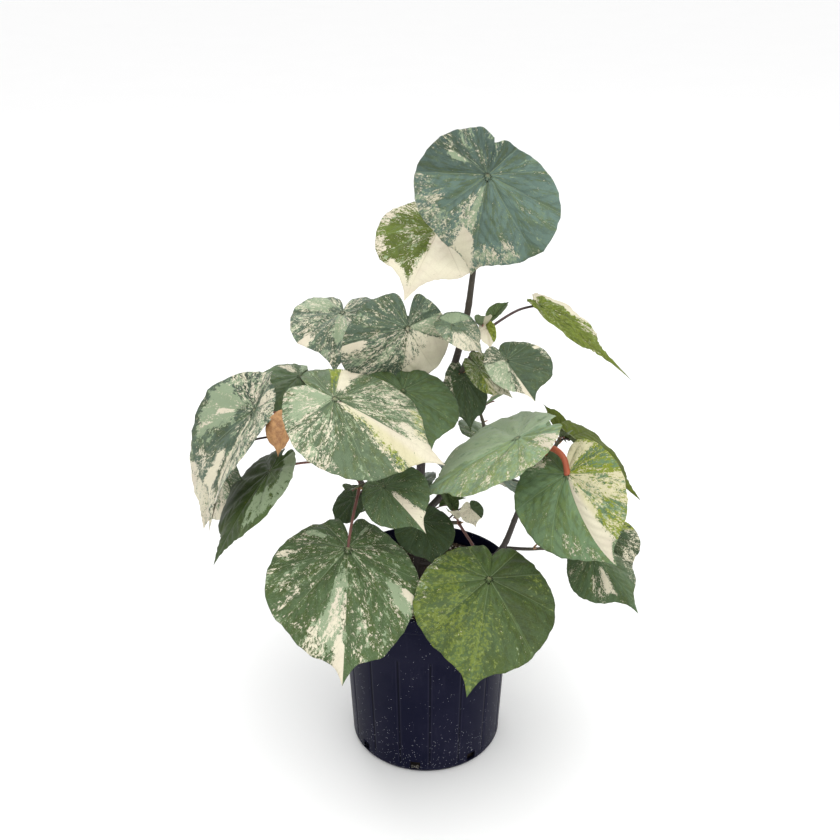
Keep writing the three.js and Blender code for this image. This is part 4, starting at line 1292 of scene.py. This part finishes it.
class HIBISCUS_OT_buds(bpy.types.Operator):
    """Pointed buds and stipules where leaf stalks leave their stems, joined into one piece"""
    bl_idname = "hibiscus.buds"
    bl_label = "Buds and stipules"

    def execute(self, context):
        places, headings, lengths = [], [], []
        for order, shoot in enumerate(SHOOTS.values()):
            for i, (item, base) in enumerate(leaf_nodes(shoot)):
                ahead = unit(np.array(item["joint"]) - base)
                for turn in (-1, 1):
                    lean = unit(np.cross(ahead, [0, 0, 1])) * turn
                    places.append(base + ahead * shoot["radius"][1] * BUD["out"])
                    headings.append(unit(ahead + BUD["lean"] * lean + np.array([0, 0, BUD["rise"]])))
                    lengths.append(between(BUD["length"], chance(7 * order + 3 * i + turn)))
        piece = make_piece("buds", *spindles(np.array(places), np.array(headings), np.array(lengths)),
                           material=grain_material("bud", (0.30, 0.24, 0.10), (0.34, 0.13, 0.10), 300.0))
        finish_piece(piece, "foliage", *SHOOTS)
        return {"FINISHED"}


def spindles(places, headings, lengths, rings=7, sides=8):
    """Pointed buds, one at each place: a sine-shaped radius along the heading, flattened a little."""
    t = np.linspace(0.02, 0.98, rings)
    a = np.linspace(0, 2 * np.pi, sides, endpoint=False)
    side = unit(np.cross(headings, BUD["slant"]))
    over = np.cross(headings, side)
    width = BUD["width"] * np.sin(np.pi * t ** 0.7)[:, None]
    ring = (side[:, None, None] * (np.cos(a) * width)[None, ..., None]
            + over[:, None, None] * (BUD["flat"] * np.sin(a) * width)[None, ..., None])
    body = places[:, None, None] + (headings[:, None, None] * t[None, :, None, None] + ring
                                    ) * lengths[:, None, None, None]
    ends = np.stack([places, places + headings * lengths[:, None]], axis=1)
    n = rings * sides
    points = np.concatenate([body.reshape(len(places), n, 3), ends], axis=1).reshape(-1, 3)
    return (points * MM, repeated(grid_quads(rings, sides), len(places), n + 2),
            repeated(end_caps(n, sides), len(places), n + 2))


def pot_profile(settings):
    """Heights, outer radii and inner radii of the pot's wall from floor to rim, as matching rows.

    The wall widens evenly over a quarter-round heel. The band stands out over a short slope, and the rim's
    outer edge is eased."""
    top, height = POT_BOX[1][0], POT_BOX[1][2]
    band = height - settings.band_height
    widening = (top - settings.band_step - settings.foot_radius) / height
    z = np.concatenate([[0, 0.0008, 0.0025, 0.005], np.linspace(0.007, 0.022, 8),
                        np.linspace(0.026, band - 0.002, 46),
                        band + np.array([0, 0.001, 0.002, 0.003, 0.005, 0.012]),
                        height - np.array([0.006, 0.003, 0.0012, 0.0004, 0])])
    heel = POT["heel"] * (1 - np.sqrt(np.clip(z / POT["heel"], 0, 1)))
    step = settings.band_step * np.clip((z - band) / POT["band_slope"], 0, 1)
    outer = np.minimum(settings.foot_radius + widening * z - heel + step, top)
    outer = outer - 0.0012 * (z > height - 0.0002) - 0.0005 * (z > height - 0.0006)
    return z, outer, settings.foot_radius + widening * np.maximum(z, 0.006) - settings.wall


class HIBISCUS_OT_pot(bpy.types.Operator):
    """Nursery pot: a turned wall with upright grooves, a rolled rim band, drain holes and a floor"""
    bl_idname = "hibiscus.pot"
    bl_label = "Pot"
    segments = 288

    def execute(self, context):
        settings = context.scene.hibiscus_pot
        z, outer, inner = pot_profile(settings)
        a = np.linspace(0, 2 * np.pi, self.segments, endpoint=False) + math.radians(HOLES["first"])
        outer_grid = self.shell(z, outer, a, settings)
        inner_grid = polar(inner[:, None], a, np.maximum(z, settings.wall)[:, None])
        rows, n = len(z), self.segments
        points = np.concatenate([outer_grid.reshape(-1, 3), inner_grid.reshape(-1, 3),
                                 [[0, 0, 0], [0, 0, settings.wall]]])
        is_hole = self.open_cells(rows, a, settings)
        wall_quads = grid_quads(rows, n)[~is_hole.ravel()]
        quads = np.vstack([wall_quads, wall_quads[:, ::-1] + rows * n, self.rim(rows, n),
                           self.hole_sides(is_hole, n, rows * n)])
        triangles = np.vstack([fan_triangles(2 * rows * n, np.arange(n)[::-1]),
                               fan_triangles(2 * rows * n + 1, rows * n + np.arange(n))])
        piece = make_piece("pot_wall", points, quads, triangles, plastic_material(settings))
        finish_piece(piece, "pot", "pot")
        return {"FINISHED"}

    def shell(self, z, radius, a, settings):
        """Outer wall: the profile turned round, less a narrow groove at even turns below the shoulder."""
        low, high = POT["run"]
        groove = np.exp(-((self.off_turn(a, settings.grooves, POT["first_groove"])
                           * settings.foot_radius / POT["groove"]) ** 2))
        run = np.clip((high - z) / POT["fade"], 0, 1) * np.clip((z - low) / POT["fade"], 0, 1)
        shoulder = POT["shoulder"] * np.clip((z - high) / POT["shoulder_rise"], 0, 1)
        r = (radius + shoulder)[:, None] - settings.groove_depth * run[:, None] * groove
        return polar(np.minimum(r, POT_BOX[1][0]), a, z[:, None])

    @staticmethod
    def off_turn(a, count, first):
        """Angle from the nearest of several even turns, of which the first is given in degrees."""
        step = 2 * np.pi / count
        return (a - math.radians(first) + step / 2) % step - step / 2

    def open_cells(self, rows, a, settings):
        """True for each cell of the wall's grid that a drain hole takes away."""
        off = self.off_turn(a + np.pi / self.segments, HOLES["count"], HOLES["first"])
        across = np.abs(off) * settings.foot_radius < HOLES["half_width"]
        row = np.arange(rows - 1)
        low, high = HOLES["rows"]
        return ((row >= low) & (row < high))[:, None] & across

    @staticmethod
    def rim(rows, n):
        """Quads over the top of the wall, from its outer to its inner face."""
        i = (rows - 1) * n + np.arange(n)
        k = (rows - 1) * n + (np.arange(n) + 1) % n
        return np.stack([i, k, k + rows * n, i + rows * n], axis=-1)

    @staticmethod
    def hole_sides(hole, n, inner):
        """Quads through the wall round each hole, wherever an open cell has a closed neighbour."""
        rows = hole.shape[0]
        i, j = np.nonzero(hole)
        k = (j + 1) % n
        sides = [(np.roll(hole, 1, axis=1)[i, j], i * n + j, (i + 1) * n + j),
                 (np.roll(hole, -1, axis=1)[i, j], (i + 1) * n + k, i * n + k),
                 (hole[np.maximum(i - 1, 0), j], i * n + k, i * n + j),
                 (hole[np.minimum(i + 1, rows - 1), j], (i + 1) * n + j, (i + 1) * n + k)]
        return np.vstack([np.stack([p, q, q + inner, p + inner], axis=-1)[~inside] for inside, p, q in sides])


def soil_bumps(points):
    """Uneven ground, up to a bump's height up or down: a sum of waves in seeded directions."""
    rng = np.random.default_rng(SOIL["seed"])
    total = np.zeros(points.shape[:-1])
    for octave in range(5):
        for _ in range(5):
            turn, phase = rng.uniform(0, 2 * np.pi, 2)
            wave = SOIL["waves"] * 1.9 ** octave
            along = points[..., 0] * np.cos(turn) + points[..., 1] * np.sin(turn)
            total = total + np.sin(along * wave + phase) / 1.6 ** octave
    return SOIL["bump"] * total / 7.0


def soil_height(radius):
    """Height of the mix: a low mound from the wall up to the stem."""
    edge, top = SOIL_BOX[1][0] * 0.998, SOIL_BOX[1][2]
    away = np.clip((radius - SOIL["stem_foot"]) / (edge - SOIL["stem_foot"]), 0, 1)
    return top - SOIL["drop"] * away ** 0.9


class HIBISCUS_OT_soil(bpy.types.Operator):
    """Potting mix with an uneven top, closed underneath"""
    bl_idname = "hibiscus.soil"
    bl_label = "Potting mix"

    def execute(self, context):
        settings = context.scene.hibiscus_pot
        edge = SOIL_BOX[1][0] - SOIL["gap"]
        r = np.linspace(0, 1, 70)[1:] * edge
        a = np.linspace(0, 2 * np.pi, 220, endpoint=False)
        radius, angle = np.meshgrid(r, a, indexing="ij")
        top = polar(radius, angle, 0.0)
        top[..., 2] = soil_height(radius) + soil_bumps(top) * (1 - (radius / edge) ** 8)
        foot = polar(SOIL_BOX[1][0] * SOIL["floor_share"], a, SOIL["floor"])
        points = np.vstack([top.reshape(-1, 3), foot, [[0, 0, SOIL_BOX[1][2]], [0, 0, SOIL["floor"]]]])
        n, rows = len(a), len(r)
        quads = grid_quads(rows + 1, n)
        triangles = np.vstack([fan_triangles(len(points) - 2, np.arange(n)),
                               fan_triangles(len(points) - 1, rows * n + np.arange(n)[::-1])])
        piece = make_piece("soil", points, quads[:, ::-1], triangles, mix_material(settings))
        finish_piece(piece, "potting_mix", "potting_mix")
        return {"FINISHED"}


def pebbles(places, sizes, rng):
    """Small lumps: a ball of rings pushed in and out at random and turned at random."""
    rings, sides = 4, 7
    t = np.linspace(0, np.pi, rings + 2)[1:-1]
    a = np.linspace(0, 2 * np.pi, sides, endpoint=False)
    ball = polar(np.sin(t)[:, None], a, np.cos(t)[:, None]).reshape(-1, 3)
    ball = np.vstack([ball, [[0, 0, 1], [0, 0, -1]]])
    count = len(places)
    shape = ball[None] * rng.uniform(0.65, 1.15, (count, len(ball), 1))
    turn, _ = np.linalg.qr(rng.normal(size=(count, 3, 3)))
    turn = turn * np.sign(np.linalg.det(turn))[:, None, None]
    points = np.einsum("nij,nkj->nki", turn, shape * sizes[:, None]) + places[:, None]
    return (points.reshape(-1, 3), repeated(grid_quads(rings, sides)[:, ::-1], count, len(ball)),
            repeated(end_caps(rings * sides, sides)[:, ::-1], count, len(ball)))


class HIBISCUS_OT_grains(bpy.types.Operator):
    """White perlite and dark bark chips lying on the potting mix, each kind joined into one piece"""
    bl_idname = "hibiscus.grains"
    bl_label = "Perlite and bark chips"

    def execute(self, context):
        settings = context.scene.hibiscus_pot
        rng = np.random.default_rng(GRAIN_SEED)
        self.spill(settings, rng)
        for name, (count, size, shape, colour, second) in GRAINS.items():
            radius = (SOIL_BOX[1][0] - 0.006) * np.sqrt(rng.uniform(0.012, 1, count))
            places = polar(radius, rng.uniform(0, 2 * np.pi, count), 0.0)
            big = rng.uniform(*size, count)
            places[:, 2] = soil_height(radius) + soil_bumps(places) + big * 0.12
            points, quads, triangles = pebbles(places, big[:, None] * np.array(shape), rng)
            piece = make_piece(name, points, quads, triangles, grain_material(name, colour, second, 400.0))
            finish_piece(piece, "potting_mix", "potting_mix")
        return {"FINISHED"}

    @staticmethod
    def spill(settings, rng):
        """Pale crumbs that have washed into the drain hole nearest the front."""
        count, spread = SPILL["count"], SPILL["spread"]
        angle = math.radians(SPILL["turn"]) + rng.uniform(-spread, spread, count)
        radius = settings.foot_radius - rng.uniform(*SPILL["depth"], count)
        z = SPILL["low"] + SPILL["rise"] * rng.uniform(0, 1, count) ** 1.6
        sizes = rng.uniform(*SPILL["size"], (count, 1)) * np.ones(3)
        points, quads, triangles = pebbles(polar(radius, angle, z), sizes, rng)
        piece = make_piece("hole_crumbs", points, quads, triangles,
                           grain_material("crumb", (0.36, 0.34, 0.30), (0.05, 0.045, 0.04), 500.0))
        finish_piece(piece, "potting_mix", "potting_mix")


class HIBISCUS_OT_stage(bpy.types.Operator):
    """Pale floor, soft light and the camera"""
    bl_idname = "hibiscus.stage"
    bl_label = "Floor, light and camera"

    def execute(self, context):
        settings = context.scene.hibiscus_stage
        side = np.linspace(-FLOOR_REACH, FLOOR_REACH, FLOOR_LINES)
        x, y = np.meshgrid(side, side, indexing="xy")
        points = np.stack([x, y, np.zeros_like(x)], axis=-1).reshape(-1, 3)
        quads = grid_quads(FLOOR_LINES, FLOOR_LINES, wrap=False)
        floor = make_piece("floor", points, quads, material=floor_material(settings))
        for name, (place, size, power) in LIGHTS.items():
            self.light(name, place, size, power)
        world = bpy.data.worlds.new("studio")
        world.use_nodes = True
        sky = world.node_tree.nodes["Background"]
        sky.inputs["Color"].default_value = (1, 1, 1, 1)
        sky.inputs["Strength"].default_value = 1.0
        context.scene.world = world
        context.scene.view_settings.view_transform = "Standard"
        data = bpy.data.cameras.new("camera")
        data.sensor_width = SENSOR_WIDTH
        data.lens = data.sensor_width * settings.focal
        data.clip_end = FARTHEST
        camera = bpy.data.objects.new("camera", data)
        camera.location = settings.camera
        camera.rotation_euler = (math.pi / 2 - settings.tilt, 0, 0)
        context.scene.collection.objects.link(camera)
        context.scene.camera = camera
        return {"FINISHED"}

    @staticmethod
    def light(name, place, size, power):
        """A square soft light that faces the middle of the plant."""
        data = bpy.data.lights.new(name, "AREA")
        data.size, data.energy = size, power
        lamp = bpy.data.objects.new(name, data)
        lamp.location = place
        aim = np.array(LIT_POINT) - np.array(place)
        lamp.rotation_euler = (math.acos(-aim[2] / np.linalg.norm(aim)), 0,
                               math.atan2(aim[1], aim[0]) - math.pi / 2)
        bpy.context.scene.collection.objects.link(lamp)


class HIBISCUS_PT_panel(bpy.types.Panel):
    """Lists the plant's settings and the operators that build it"""
    bl_idname = "HIBISCUS_PT_panel"
    bl_label = "Potted hibiscus"
    bl_space_type = "VIEW_3D"
    bl_region_type = "UI"
    bl_category = "Hibiscus"

    def draw(self, context):
        for name, group in GROUPS.items():
            box = self.layout.box()
            for key in group.__annotations__:
                box.prop(getattr(context.scene, name), key)
        for operator in OPERATORS:
            self.layout.operator(operator.bl_idname)


OPERATORS = (HIBISCUS_OT_stage, HIBISCUS_OT_pot, HIBISCUS_OT_soil, HIBISCUS_OT_grains, HIBISCUS_OT_limbs,
             HIBISCUS_OT_stalks, HIBISCUS_OT_blades, HIBISCUS_OT_young, HIBISCUS_OT_buds)
CLASSES = (*GROUPS.values(), *OPERATORS, HIBISCUS_PT_panel)


def register():
    """Registers the classes and hangs each group of settings on the scene."""
    for item in CLASSES:
        bpy.utils.register_class(item)
    for name, group in GROUPS.items():
        setattr(bpy.types.Scene, name, bpy.props.PointerProperty(type=group))


def unregister():
    """Takes the settings and the classes away again."""
    for name in GROUPS:
        delattr(bpy.types.Scene, name)
    for item in reversed(CLASSES):
        bpy.utils.unregister_class(item)


def main():
    """Builds everything in order."""
    register()
    for operator in OPERATORS:
        group, name = operator.bl_idname.split(".")
        getattr(getattr(bpy.ops, group), name)()
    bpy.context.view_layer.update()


if __name__ == "__main__":
    main()
